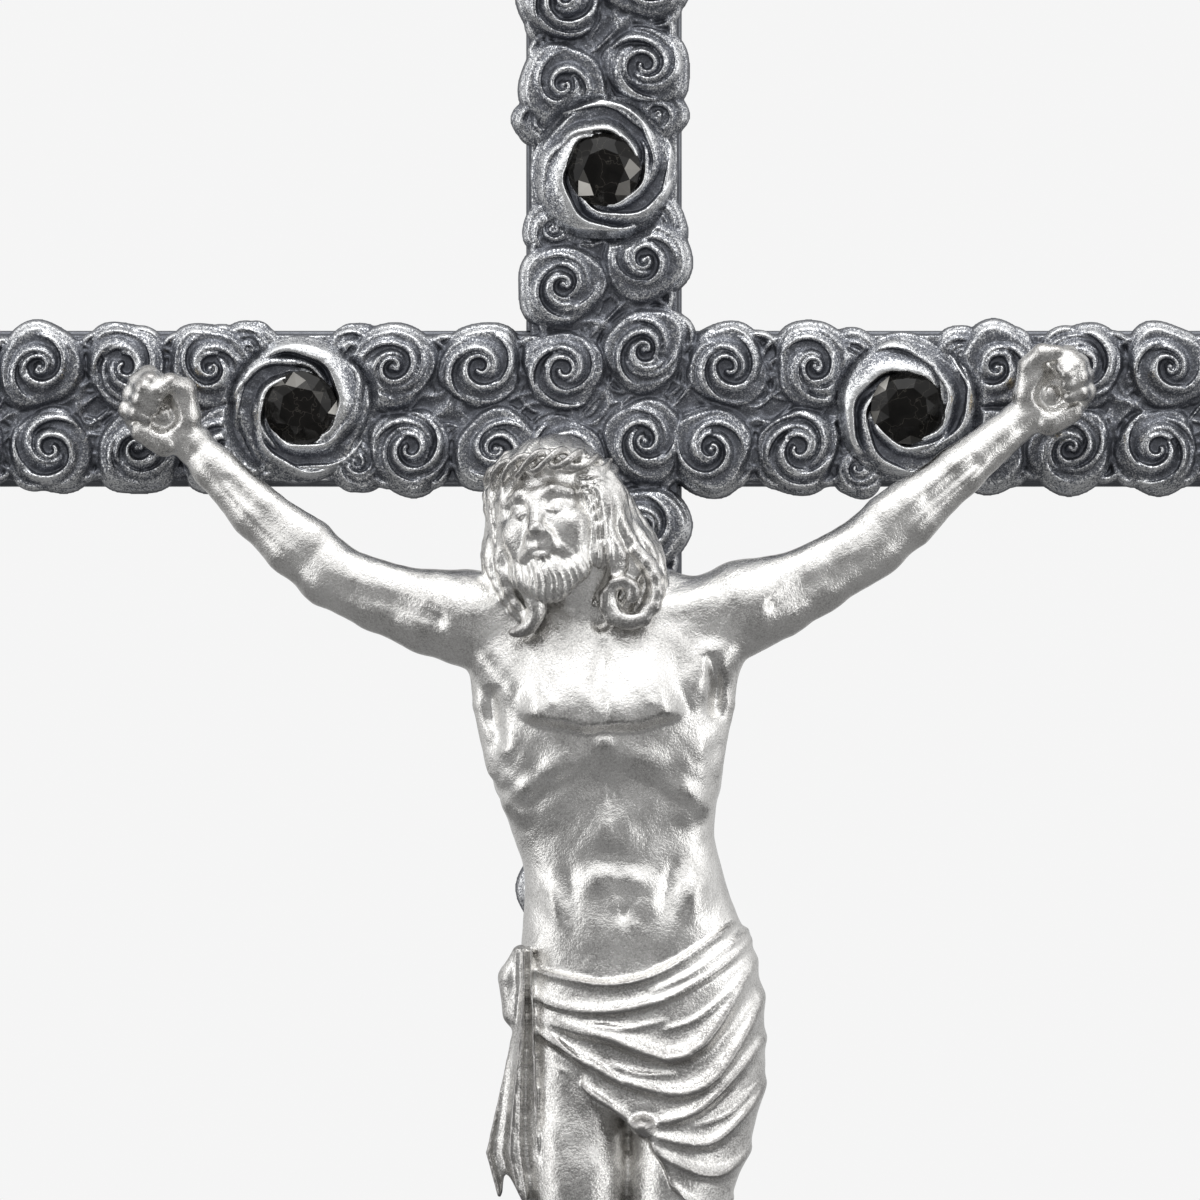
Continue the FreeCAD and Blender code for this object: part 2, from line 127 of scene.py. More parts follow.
def map_range(tree, source, low, high, to_low=0.0, to_high=1.0, kind="SMOOTHSTEP"):
    """A node that carries a value from one range to another."""
    node = tree.nodes.new("ShaderNodeMapRange")
    node.interpolation_type = kind
    ends = {"From Min": low, "From Max": high, "To Min": to_low, "To Max": to_high}
    for key, value in ends.items():
        node.inputs[key].default_value = value
    tree.links.new(source, node.inputs["Value"])
    return node.outputs["Result"]


def studio_world():
    """The camera sees a plain pale surround. Metal sees a studio: pale above and beside, darker
    towards the camera and below."""
    world = bpy.data.worlds.new("studio")
    bpy.context.scene.world = world
    world.use_nodes = True
    tree = world.node_tree
    nodes, links = tree.nodes, tree.links
    nodes.clear()
    out = nodes.new("ShaderNodeOutputWorld")
    mix = nodes.new("ShaderNodeMixShader")
    seen = nodes.new("ShaderNodeBackground")
    seen.inputs["Color"].default_value = (0.915, 0.915, 0.915, 1)
    lit = nodes.new("ShaderNodeBackground")
    ray = nodes.new("ShaderNodeLightPath")
    where = nodes.new("ShaderNodeTexCoord")
    split = nodes.new("ShaderNodeSeparateXYZ")
    aside = nodes.new("ShaderNodeMath")
    aside.operation = "ABSOLUTE"
    links.new(where.outputs["Generated"], split.inputs[0])
    links.new(split.outputs["X"], aside.inputs[0])
    tone = map_range(tree, aside.outputs[0], 0.44, 0.86, 0.27, 0.68)
    # direction, where the blend starts and ends, and the brightness that it ends in
    for axis, low, high, brightness in (
        ("Z", 0.22, 0.42, 1.04), ("Y", 0.10, 0.50, 0.56), ("Z", -0.15, -0.50, 0.22),
    ):
        node = nodes.new("ShaderNodeMix")
        links.new(map_range(tree, split.outputs[axis], low, high), node.inputs[0])
        links.new(tone, node.inputs[2])
        node.inputs[3].default_value = brightness
        tone = node.outputs[0]
    links.new(tone, lit.inputs["Color"])
    links.new(ray.outputs["Is Camera Ray"], mix.inputs[0])
    links.new(lit.outputs[0], mix.inputs[1])
    links.new(seen.outputs[0], mix.inputs[2])
    links.new(mix.outputs[0], out.inputs[0])


def studio_floor():
    """A round pale floor that fades into the surround, so it has no edge."""
    floor = bpy.data.meshes.new("floor")
    shape = bmesh.new()
    bmesh.ops.create_circle(shape, cap_ends=True, segments=128, radius=FLOOR_TO)
    shape.to_mesh(floor)
    shape.free()
    slab = placed("floor", floor)
    slab.location.z = -FLOOR_DROP
    pale = bpy.data.materials.new("floor")
    pale.use_nodes = True
    tree = pale.node_tree
    nodes, links = tree.nodes, tree.links
    surface = nodes["Principled BSDF"]
    surface.inputs["Base Color"].default_value = (0.86, 0.86, 0.86, 1)
    surface.inputs["Roughness"].default_value = 0.9
    away = nodes.new("ShaderNodeVectorMath")
    away.operation = "LENGTH"
    links.new(nodes.new("ShaderNodeTexCoord").outputs["Object"], away.inputs[0])
    both = nodes.new("ShaderNodeMixShader")
    links.new(map_range(tree, away.outputs["Value"], FLOOR_FROM, FLOOR_TO), both.inputs[0])
    links.new(surface.outputs[0], both.inputs[1])
    links.new(nodes.new("ShaderNodeBsdfTransparent").outputs[0], both.inputs[2])
    links.new(both.outputs[0], nodes["Material Output"].inputs["Surface"])
    floor.materials.append(pale)
    slab.visible_glossy = False  # polished metal sees the studio's dark lower half instead
    slab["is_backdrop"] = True


# --- meshes ---
def new_object(name, vertices, faces, material, nodes, attributes=None, smooth=True):
    """A mesh piece from points in mm from the crossing's centre, which stands for CAD nodes."""
    mesh = bpy.data.meshes.new(name)
    points = (np.asarray(vertices, float) + (0, 0, CROSS_Z)) * MM
    mesh.from_pydata(points.tolist(), [], [list(map(int, f)) for f in faces])
    for key, values in (attributes or {}).items():
        layer = mesh.attributes.new(key, "FLOAT", "POINT")
        layer.data.foreach_set("value", np.asarray(values, np.float32))
    mesh.polygons.foreach_set("use_smooth", [smooth] * len(mesh.polygons))
    mesh.validate()
    piece = placed(name, mesh)
    mesh.materials.append(material)
    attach(piece, "root")
    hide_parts(*nodes)
    return piece


def quads_of(values, low, step):
    """The surface where a block of distances is zero, as points and quads that face outwards."""
    grid = openvdb.FloatGrid()
    grid.background = float(step * 3)
    grid.copyFromArray(np.clip(values, -3 * step, 3 * step).astype(np.float32))
    points, quads = grid.convertToQuads(isovalue=0.0)
    return points.astype(float) * step + np.asarray(low, float), quads[:, ::-1]


def smooth_step(low, high, value):
    t = np.clip((value - low) / (high - low), 0, 1)
    return t * t * (3 - 2 * t)


def blurred(image, radius):
    """Three box blurs along each way, close to a Gaussian."""
    for axis in (0, 1):
        for _ in range(3):
            pad = [(radius + 1, radius) if a == axis else (0, 0) for a in (0, 1)]
            total = np.cumsum(np.pad(image, pad, mode="edge"), axis)
            size = 2 * radius + 1
            upper = np.take(total, range(size, total.shape[axis]), axis)
            lower = np.take(total, range(0, total.shape[axis] - size), axis)
            image = (upper - lower) / size
    return image


def pick(image, low, step, x, z):
    """Values of an image at points, between its samples."""
    u = np.clip((x - low[0]) / step, 0, image.shape[0] - 1.001)
    v = np.clip((z - low[1]) / step, 0, image.shape[1] - 1.001)
    i, j = u.astype(int), v.astype(int)
    a, b = u - i, v - j
    return (
        image[i, j] * (1 - a) * (1 - b)
        + image[i + 1, j] * a * (1 - b)
        + image[i, j + 1] * (1 - a) * b
        + image[i + 1, j + 1] * a * b
    )


def lumps(x, z, size, seed):
    """Gentle unevenness from a few waves in different directions, about -1 to 1."""
    rng = np.random.default_rng(seed)
    total = 0
    for _ in range(7):
        turn, phase = rng.uniform(0, 2 * math.pi, 2)
        wave = 2 * math.pi / (size * rng.uniform(0.7, 1.5))
        total = total + np.sin((x * math.cos(turn) + z * math.sin(turn)) * wave + phase)
    return total / 3.0  # seven waves seldom add up to more than three


# --- rose relief ---
ROW_OFFSET = 4.05
RELIEF_STEP = 0.155
PLATE_HALF = 7.25
RELIEF_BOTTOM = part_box("relief_shaft")[0].z / MM - CROSS_Z
LAP_OVER = 0.15  # how far neighbouring panels run into each other, so that no joint shows
FLAT = 0.95  # the plate's height over the beam between roses
FAR_BELOW = -9.0  # a height that stands for nothing there
ROSE_REACH = 6.2  # a rose and its backing petals are worked out this far from its centre
PETAL_TURN = 1.257  # a fifth of a turn
RELIEF_PEG_R, SETTING_PEG_R = 1.0, 1.5
PEG_WEAR = 0.1
SMALL = 0.66  # size of the blooms round a setting
NO_LIMIT = 99
OPENING_R, CLEARING_R = 6.0, 8.2  # round a setting: the hole for it, and the low ground about it
SETTING_GRID = 8.6  # half the side of the square that holds a setting


def run(start, step, count):
    return [start + step * i for i in range(count)]


def rose_places():
    """Every rose as (x, z, kind), in two staggered rows along each beam."""
    gem_side, gem_top = abs(centre("gem_left")[0]), centre("gem_upper")[2]
    upper = run(12.4, 8.7, 2) + run(gem_side + 9.0, 8.6, 4)
    lower = run(10.7, 8.7, 2) + run(gem_side + 7.6, 8.7, 4)
    places = []
    for side in (-1, 1):
        places += [(side * x, ROW_OFFSET, i) for i, x in enumerate(upper)]
        places += [(side * x, -ROW_OFFSET, i + 2) for i, x in enumerate(lower)]
    right = run(5.8, 9.0, 2) + run(gem_top + 10.5, 8.7, 4) + run(-3.2, -8.8, 14)
    left = run(3.8, 8.5, 2) + run(gem_top + 8.5, 8.7, 4) + run(-4.6, -8.8, 14)
    places += [(ROW_OFFSET, z, i + 1) for i, z in enumerate(right)]
    places += [(-ROW_OFFSET, z, i) for i, z in enumerate(left)]
    return places


def petal(x, z, shift, middle, span, radius, drift, top, rise, outer, inner=0.24, wave=0.0):
    """Height of one crescent petal: an arc that winds outwards, thick in its middle, with a lip
    that is steep towards the bud and slopes away outwards. Far below zero beyond its ends."""
    dx, dz = x - shift[0], z - shift[1]
    r, a = np.hypot(dx, dz), np.arctan2(dz, dx)
    along = ((a - middle + math.pi) % (2 * math.pi) - math.pi) / span
    full = np.sqrt(np.clip(1 - along**2, 0, 1))
    away = r - radius * (1 + drift * along + wave * np.sin(7 * a + 3 * middle))
    width = np.where(away < 0, inner * (0.6 + 0.4 * full), outer * (0.35 + 0.65 * full))
    lip = np.exp(-((away / width) ** 2))
    height = top - rise + rise * lip * full**0.6 - 0.25 * (1 - full)
    return np.where((np.abs(along) < 1) & (away > -2 * inner), height, FAR_BELOW)


def rose(x, z, kind, rng):
    """Height of one rose over the beam: a wound bud in tiers of overlapping crescents."""
    turn = (0.4, 2.3, 4.1, 5.3)[kind % 4] + rng.uniform(-0.6, 0.6)
    hand = 1 if kind % 4 != 2 else -1
    c, s = math.cos(turn), math.sin(turn)
    x, z = c * x + s * z, (-s * x + c * z) * hand
    squash = rng.uniform(0.94, 1.06)
    x, z = x * squash, z / squash
    r, a = np.hypot(x, z), np.arctan2(z, x)
    dome = 1.55 - 0.045 * r**2 + 0.06 * lumps(x, z, 2.5, kind)

    # the bud: a thick ridge that winds out of the middle for a turn
    wound = (a + math.pi) % (2 * math.pi)
    reach = 0.30 + 0.19 * wound
    away = r - reach
    thick = np.where(away < 0, 0.22, 0.30 + 0.04 * wound)
    height = 2.30 + 0.85 * np.exp(-((away / thick) ** 2)) * (1 - 0.4 * smooth_step(5.2, 6.28, wound))
    height = np.where(r < 2.0, height, dome)
    if kind % 3:
        height = np.maximum(height, 2.25 + 0.85 * np.exp(-((np.hypot(x - 0.1, z) / 0.45) ** 2)))

    # tiers of petals: count, radius, span, drift, top, rise, outer width, shift of each centre
    tiers = (
        (2, 1.75, 1.85, 0.20, 3.08, 1.05, 0.68, 0.26),
        (2 + kind % 2, 2.72, 1.62, 0.17, 2.78, 1.20, 0.84, 0.38),
        (3, 3.62, 1.30, 0.12, 2.30, 1.15, 0.88, 0.42),
    )
    first = rng.uniform(0, 2 * math.pi)
    for count, radius, span, drift, top, rise, outer, offset in tiers:
        for i in range(count):
            middle = first + 2 * math.pi * i / count + rng.uniform(-0.25, 0.25)
            shift = (offset * math.cos(middle + 2.2), offset * math.sin(middle + 2.2))
            height = np.maximum(height, petal(
                x, z, shift, middle, span * rng.uniform(0.88, 1.1), radius * rng.uniform(0.95, 1.05),
                drift, top + rng.uniform(-0.12, 0.12), rise, outer * rng.uniform(0.85, 1.15), 0.34,
            ))
        first += 1.9
    edge = 4.42 + 0.22 * np.sin(3 * a + kind) + 0.10 * np.sin(5 * a - kind)
    over = np.maximum(r - edge, 0)
    return height - 0.7 * smooth_step(edge - 0.8, edge, r) - 4.5 * over


def backing_petals(x, z, rng, spread=(1.0, 1.0)):
    """Low full petals under a rose, seen in the gaps and as lobes along the beams' edges."""
    first = rng.uniform(0, 2 * math.pi)
    height = np.full_like(x, FAR_BELOW)
    for i in range(5):
        middle = first + PETAL_TURN * i + rng.uniform(-0.2, 0.2)
        px, pz = 2.75 * spread[0] * math.cos(middle), 2.75 * spread[1] * math.sin(middle)
        reach = np.hypot(x - px, z - pz)
        size = rng.uniform(2.35, 2.65)
        lip = 0.75 * np.exp(-(((reach - size + 0.35) / 0.42) ** 2))
        height = np.maximum(height, 0.85 + lip - 5.0 * np.maximum(reach - size, 0))
    return height


def relief_heights(low, high):
    """Heights over the beam on a grid between two (x, z) corners, roses and all."""
    step = RELIEF_STEP
    x = np.arange(low[0], high[0] + step, step)
    z = np.arange(low[1], high[1] + step, step)
    gx, gz = np.meshgrid(x, z, indexing="ij")
    on_arms = np.maximum(np.abs(gz) - PLATE_HALF, np.abs(gx) - HALF_SPAN + 0.3)
    on_upright = np.maximum(np.abs(gx) - PLATE_HALF, gz - TOP_ARM + 0.3)
    inside = np.minimum(on_arms, on_upright)
    # between the roses the plate is filled with low leaf edges, and it's plain near its own edges
    leaves = (1 - np.minimum(np.abs(lumps(gx, gz, 3.4, 9)), 1)) ** 2
    filled = smooth_step(-0.9, -2.6, inside) * (0.30 + 0.55 * leaves)
    height = FLAT + filled + 0.06 * lumps(gx, gz, 3.0, 5) - 6.0 * np.maximum(inside, 0)
    for number, (px, pz, kind) in enumerate(rose_places()):
        near_x, near_z = np.abs(x - px) < ROSE_REACH, np.abs(z - pz) < ROSE_REACH
        if not (near_x.any() and near_z.any()):
            continue
        rng = np.random.default_rng(100 + number)
        lift = rng.uniform(-0.10, 0.12)
        window = np.ix_(near_x, near_z)
        wx, wz = gx[window] - px, gz[window] - pz
        # the lobes reach along the beam to fill the gaps, and less over its edges
        spread = (1.1, 1.1)
        if abs(pz) > 7:
            spread = (0.62, 1.35)
        elif abs(px) > 7:
            spread = (1.35, 0.62)
        bloom = np.maximum(rose(wx, wz, kind, rng) + lift, backing_petals(wx, wz, rng, spread))
        height[window] = np.maximum(height[window], bloom)
    for number, name in enumerate(SETTINGS):
        px, _, pz = centre("gem_" + name)
        rng = np.random.default_rng(300 + number)
        for i in range(4):  # small blooms in the corners round a setting
            turn = math.pi * (0.25 + 0.5 * i) + rng.uniform(-0.12, 0.12)
            wx = (gx - px - 7.9 * math.cos(turn)) / SMALL
            wz = (gz - pz - 7.6 * math.sin(turn)) / SMALL
            bloom = rose(wx, wz, i + number, rng)
            bloom = np.maximum(bloom, backing_petals(wx, wz, rng, (0.7, 0.7)))
            height = np.maximum(height, SMALL * bloom)
        r = np.hypot(gx - px, gz - pz)
        ground = FLAT + 0.45 + 1.2 * np.maximum(r - 7.0, 0)
        height = np.where(r < CLEARING_R, np.minimum(height, ground), height)
        height = np.where(r < OPENING_R, -1.0, height)
    return x, z, height + 0.018 * lumps(gx, gz, 0.8, 11)


def raised(x, z, height, step, around, limits=None):
    """Closes a height map into a solid on Y = 0, cut at its limits. Gives its points and quads,
    and how far each point stands above what is around it."""
    up = np.arange(-3 * step, float(height.max()) + 3 * step, step)
    slope_x, slope_z = np.gradient(height, step)
    steep = np.sqrt(1 + slope_x**2 + slope_z**2)
    block = (up[None, :, None] - height[:, None, :]) / steep[:, None, :]
    block = np.maximum(block, -up[None, :, None])
    if limits:
        x0, x1, z0, z1 = limits
        block = np.maximum(block, np.maximum(x0 - x, x - x1)[:, None, None] - LAP_OVER)
        block = np.maximum(block, np.maximum(z0 - z, z - z1)[None, None, :] - LAP_OVER)
    points, quads = quads_of(block, (x[0], up[0], z[0]), step)
    stands = height - blurred(np.maximum(height, 0), max(1, round(around / step)))
    return points, quads, pick(stands, (x[0], z[0]), step, points[:, 0], points[:, 2])


def rivet(px, pz, radius, sides=32):
    """A peg behind the relief, hammered flush into a shallow dome at the beam's back."""
    rings = [(radius, BEAM_FRONT - 0.3), (radius, BEAM_BACK - 0.02)]
    rings += [(radius * math.cos(t), BEAM_BACK + 0.22 * math.sin(t)) for t in (0.3, 0.7, 1.1)]
    points = []
    for r, y in rings:
        for i in range(sides):
            t = 2 * math.pi * i / sides
            points.append((px + r * math.cos(t), y, pz + r * math.sin(t)))
    faces = []
    for k in range(len(rings) - 1):
        here, after = k * sides, (k + 1) * sides
        for i in range(sides):
            j = (i + 1) % sides
            faces.append([here + i, after + i, after + j, here + j])
    faces.append(list(range(sides)))
    faces.append([(len(rings) - 1) * sides + i for i in reversed(range(sides))])
    return np.array(points), faces


def with_pegs(points, quads, wear_and_shade, pegs, radius):
    """Adds pegs at (x, z) places to a casting's points, quads and its values of wear and painted shade."""
    quads = list(map(list, quads))
    for px, pz in pegs:
        peg_points, peg_faces = rivet(px, pz, radius)
        quads += [[i + len(points) for i in f] for f in peg_faces]
        points = np.vstack([points, peg_points])
        wear_and_shade = np.append(wear_and_shade, np.full(len(peg_points), PEG_WEAR))
    return points, quads, wear_and_shade


def relief_panels(material):
    half, over, end = BEAM_HALF, 9.2, HALF_SPAN - 0.1
    wide = (-over, over)
    panels = {
        "relief_left": (-end, -half, *wide),
        "relief_right": (half, end, *wide),
        "relief_crossing": (-half, half, -half, half),
        "relief_upper": (*wide, half, TOP_ARM - 0.1),
        "relief_shaft": (*wide, RELIEF_BOTTOM, -half),
    }
    pegs = {
        "relief_left": [(-59.0, 0.0), (-17.0, 0.0)],
        "relief_right": [(59.0, 0.0), (17.0, 0.0)],
        "relief_crossing": [(0.0, 0.0)],
        "relief_upper": [(0.0, 58.0), (0.0, 38.0)],
        "relief_shaft": [(0.0, -20.0), (0.0, -85.0), (0.0, -125.0)],
    }
    margin = 4 * RELIEF_STEP
    for name, (x0, x1, z0, z1) in panels.items():
        low, high = (x0 - margin, z0 - margin), (x1 + margin, z1 + margin)
        x, z, height = relief_heights(low, high)
        if name in ("relief_left", "relief_right"):
            z0, z1 = -NO_LIMIT, NO_LIMIT
        elif name != "relief_crossing":
            x0, x1 = -NO_LIMIT, NO_LIMIT
        points, quads, wear_and_shade = raised(x, z, height, RELIEF_STEP, 0.55, (x0, x1, z0, z1))
        top = pick(height, (x[0], z[0]), RELIEF_STEP, points[:, 0], points[:, 2])
        wear_and_shade = np.where(points[:, 1] < top - 0.6, wear_and_shade * 0.3 - 0.2, wear_and_shade)  # the steep sides are darkened: partly oxide that isn't rubbed off, partly painted shadow under the petals' lips
        points[:, 1] = BEAM_FRONT - points[:, 1]
        points, quads, wear_and_shade = with_pegs(points, quads, wear_and_shade, pegs[name], RELIEF_PEG_R)
        new_object(
            name + "_roses", points, quads, material, [name], {"wear_and_shade": wear_and_shade}
        )


# --- settings and stones ---
def setting_heights(x, z, number):
    """A large rose round a stone: broad petals swirl about an uneven opening."""
    rng = np.random.default_rng(40 + number)
    turn = (0.3, 1.9, 3.2, 4.6)[number]
    r, a = np.hypot(x, z), np.arctan2(z, x)
    opening = 3.42 + 0.14 * np.sin(2 * a + turn) + 0.10 * np.sin(5 * a - turn) + 0.05 * np.sin(9 * a)
    height = 2.05 + 0.06 * lumps(x, z, 2.0, number)
    # middle, span, radius, drift, top, rise, outer width, how far its centre is off
    petals = (
        (0.2, 1.70, 4.75, 0.12, 3.65, 2.0, 2.20, 0.90),
        (2.5, 1.30, 3.95, 0.14, 3.10, 1.3, 0.75, 0.25),
        (4.5, 1.45, 4.15, 0.12, 3.30, 1.5, 0.95, 0.40),
        (1.7, 1.20, 5.25, 0.18, 3.05, 1.4, 1.05, 0.90),
        (3.7, 1.40, 5.65, 0.16, 2.95, 1.5, 1.00, 0.75),
        (5.4, 1.20, 5.15, 0.18, 3.00, 1.4, 1.00, 0.95),
        (0.9, 1.00, 6.30, 0.10, 2.60, 1.4, 0.85, 0.60),
        (2.7, 1.10, 6.45, 0.10, 2.55, 1.4, 0.85, 0.55),
        (4.6, 1.15, 6.35, 0.10, 2.65, 1.4, 0.90, 0.55),
    )
    for middle, span, radius, drift, top, rise, outer, off in petals:
        middle += turn + rng.uniform(-0.2, 0.2)
        shift = (off * math.cos(middle + 1.9), off * math.sin(middle + 1.9))
        curl = petal(x, z, shift, middle, span, radius, drift, top, rise, outer, 0.30, 0.022)
        height = np.maximum(height, curl)
    edge = 7.25 + 0.30 * np.sin(3 * a + turn) + 0.14 * np.sin(5 * a)
    height = height - 4.5 * np.maximum(r - edge, 0) - 0.8 * smooth_step(edge - 0.9, edge, r)
    height = np.where(r < opening + 0.3, np.minimum(height, 2.75 + 1.0 * (r - opening)), height)
    height = height - 9.0 * np.maximum(opening - r, 0)
    return np.maximum(height, np.where(r < 3.9, 0.35, FAR_BELOW))  # the floor under the stone


def settings(material):
    step = RELIEF_STEP * 0.8
    span = np.arange(-SETTING_GRID, SETTING_GRID, step)
    gx, gz = np.meshgrid(span, span, indexing="ij")
    for number, name in enumerate(SETTINGS):
        px, _, pz = centre("gem_" + name)
        height = setting_heights(gx, gz, number) + 0.015 * lumps(gx, gz, 0.8, 12 + number)
        points, quads, wear_and_shade = raised(span, span, height, step, 0.6)
        wear_and_shade += 0.16 * smooth_step(2.75, 3.45, points[:, 1])  # the highest petals are rubbed most
        points = np.column_stack([points[:, 0] + px, BEAM_FRONT - points[:, 1], points[:, 2] + pz])
        points, quads, wear_and_shade = with_pegs(points, quads, wear_and_shade, [(px, pz)], SETTING_PEG_R)
        new_object(
            "setting_%s_petals" % name, points, quads, material,
            ["setting_" + name], {"wear_and_shade": wear_and_shade},
        )


def brilliant(name, number, material):
    """A round brilliant: table, 8 stars, 8 kites, 16 upper facets, girdle and pavilion."""
    px, _, pz = centre("gem_" + name)
    # radii, then depths from the table at the front to the culet, the point at the back
    girdle_r, kite_r, table_r, deep_r = 3.68, 2.78, 2.05, 3.68 * 0.28
    table_y, kite_y, girdle_y, back_y, deep_y, culet = -1.62, -1.20, -0.66, -0.50, 1.7 - 0.75, 1.7
    turn = 0.19 + 0.3 * number
    points, faces = [], []

    def ring(count, r, y, offset):
        first = len(points)
        for i in range(count):
            t = turn + 2 * math.pi * (i + offset) / count
            points.append((px + r * math.cos(t), y, pz + r * math.sin(t)))
        return [first + i for i in range(count)]

    top = ring(8, table_r, table_y, 0.0)
    star = ring(8, kite_r, kite_y, 0.5)
    rim = ring(16, girdle_r, girdle_y, 0.0)
    back = ring(16, girdle_r, back_y, 0.0)
    deep = ring(8, deep_r, deep_y, 0.5)
    tip = len(points)
    points.append((px, culet, pz))
    faces.append(top)
    for i in range(8):
        j = (i + 1) % 8
        faces.append([top[i], star[i], top[j]])
        faces.append([top[i], star[i - 1], rim[2 * i], star[i]])
        faces.append([star[i], rim[2 * i], rim[2 * i + 1]])
        faces.append([star[i], rim[2 * i + 1], rim[(2 * i + 2) % 16]])
        faces.append([back[2 * i], deep[i], back[2 * i + 1]])
        faces.append([back[2 * i + 1], deep[i], back[(2 * i + 2) % 16]])
        faces.append([back[2 * i], deep[i - 1], tip, deep[i]])
    for i in range(16):
        j = (i + 1) % 16
        faces.append([rim[i], back[i], back[j], rim[j]])
    piece = new_object(
        "gem_%s_cut" % name, points, faces, material, ["gem_" + name], smooth=False
    )
    # painted glints: a few crown facets get a pale colour that stands for light thrown back out of the
    # stone
    rng = np.random.default_rng(60 + number)
    glint = np.zeros(len(piece.data.polygons), np.float32)
    crown = np.arange(1, 57)[np.arange(56) % 7 < 4]  # the facets between table and girdle
    glint[rng.choice(crown, 5, replace=False)] = (1.0, 0.45, 0.25, 0.10, 0.05)
    layer = piece.data.attributes.new("glint", "FLOAT", "FACE")
    layer.data.foreach_set("value", glint)
    shape = bmesh.new()
    shape.from_mesh(piece.data)
    bmesh.ops.recalc_face_normals(shape, faces=shape.faces[:])
    bmesh.ops.bevel(
        shape, geom=shape.edges[:], offset=0.018 * MM, segments=1, affect="EDGES", profile=0.5
    )
    shape.to_mesh(piece.data)
    shape.free()


# --- materials ---
class Surface:
    """A procedural material: a Principled shader and short ways to add nodes to it."""

    def __init__(self, name, metallic, roughness, **constants):
        self.material = bpy.data.materials.new(name)
        self.material.use_nodes = True
        self.tree = self.material.node_tree
        self.shader = self.tree.nodes["Principled BSDF"]
        self.shader.inputs["Metallic"].default_value = metallic
        self.shader.inputs["Roughness"].default_value = roughness
        for socket, value in constants.items():
            self.shader.inputs[socket.replace("_", " ")].default_value = value
        self.place = self.tree.nodes.new("ShaderNodeTexCoord").outputs["Object"]

    def link(self, source, target):
        self.tree.links.new(source, target)

    def noise(self, size, detail=2.0, rough=0.5):
        """Noise whose lumps are about size millimetres across."""
        node = self.tree.nodes.new("ShaderNodeTexNoise")
        node.inputs["Scale"].default_value = 1 / (size * MM)
        node.inputs["Detail"].default_value = detail
        node.inputs["Roughness"].default_value = rough
        self.link(self.place, node.inputs["Vector"])
        return node.outputs["Fac"]

    def value_of(self, attribute):
        node = self.tree.nodes.new("ShaderNodeAttribute")
        node.attribute_name = attribute
        return node.outputs["Fac"]

    def sum(self, *terms):
        """Adds (output, weight) terms."""
        total = None
        for output, weight in terms:
            node = self.tree.nodes.new("ShaderNodeMath")
            node.operation = "MULTIPLY_ADD"
            self.link(output, node.inputs[0])
            node.inputs[1].default_value = weight
            if total is None:
                node.inputs[2].default_value = 0.0
            else:
                self.link(total, node.inputs[2])
            total = node.outputs[0]
        return total

    def product(self, a, b):
        node = self.tree.nodes.new("ShaderNodeMath")
        node.operation = "MULTIPLY"
        self.link(a, node.inputs[0])
        self.link(b, node.inputs[1])
        return node.outputs[0]

    def ramp(self, source, *stops):
        """Colours along a value, as (position, (r, g, b)) stops."""
        node = self.tree.nodes.new("ShaderNodeValToRGB")
        elements = node.color_ramp.elements
        while len(elements) < len(stops):
            elements.new(0.5)
        for element, (position, colour) in zip(elements, stops):
            element.position = position
            element.color = (*colour, 1)
        self.link(source, node.inputs["Fac"])
        return node.outputs["Color"]

    def spread(self, source, low, high, to_low, to_high):
        return map_range(self.tree, source, low, high, to_low, to_high, "LINEAR")

    def bump(self, *layers):
        """Bumps as (output, height in mm), one on the other."""
        normal = None
        for output, height in layers:
            node = self.tree.nodes.new("ShaderNodeBump")
            node.inputs["Strength"].default_value = 1.0
            node.inputs["Distance"].default_value = height * MM
            self.link(output, node.inputs["Height"])
            if normal is not None:
                self.link(normal, node.inputs["Normal"])
            normal = node.outputs["Normal"]
        self.link(normal, self.shader.inputs["Normal"])

    def finish(self, shade, rough, *bumps):
        """Links the colour and the roughness, adds the bumps and gives the material."""
        self.link(shade, self.shader.inputs["Base Color"])
        self.link(rough, self.shader.inputs["Roughness"])
        self.bump(*bumps)
        return self.material


def oxidised_relief():
    """Blackened silver whose lips are rubbed bright, with the grain of the casting; its hollows and steep
    sides are dark partly from oxide and partly as painted shadow.
    """
    m = Surface("oxidised_relief", 1.0, 0.4)
    grain = m.spread(m.noise(0.26, 3.0, 0.75), 0.36, 0.64, -1.0, 1.0)
    specks = m.spread(m.noise(0.13, 1.0), 0.34, 0.66, -1.0, 1.0)
    patches = m.noise(1.6, 3.0, 0.6)
    broad = m.noise(9.0, 2.0)
    # rubbing pales the lips; the dark hollows and steep sides are partly oxide, partly painted shadow
    rubbed = m.sum(
        (m.value_of("wear_and_shade"), 1.35), (grain, 0.30), (specks, 0.26), (patches, 0.55), (broad, 0.20)
    )
    shade = m.ramp(
        m.spread(rubbed, -0.10, 1.30, 0.0, 1.0),
        (0.0, (0.135, 0.142, 0.162)),
        (0.32, (0.190, 0.199, 0.224)),
        (0.50, (0.275, 0.285, 0.312)),
        (0.62, (0.50, 0.51, 0.53)),
        (0.80, (0.93, 0.94, 0.95)),
    )
    rough = m.spread(rubbed, 0.1, 1.0, 0.50, 0.27)
    return m.finish(shade, rough, (m.noise(0.17), 0.026), (m.noise(0.42), 0.050), (m.noise(1.1), 0.06))


def oxidised_smooth():
    """Blackened silver bar: smooth, a little brushed, paler where handled."""
    m = Surface("oxidised_smooth", 1.0, 0.42)
    grain = m.noise(0.14, 2.0, 0.6)
    patches = m.noise(6.0, 4.0, 0.6)
    tone = m.sum((grain, 0.35), (patches, 0.65))
    shade = m.ramp(
        tone, (0.25, (0.10, 0.105, 0.12)), (0.5, (0.17, 0.177, 0.195)), (0.75, (0.27, 0.28, 0.30))
    )
    rough = m.spread(tone, 0.3, 0.7, 0.48, 0.34)
    return m.finish(shade, rough, (m.noise(0.22), 0.010), (patches, 0.02))


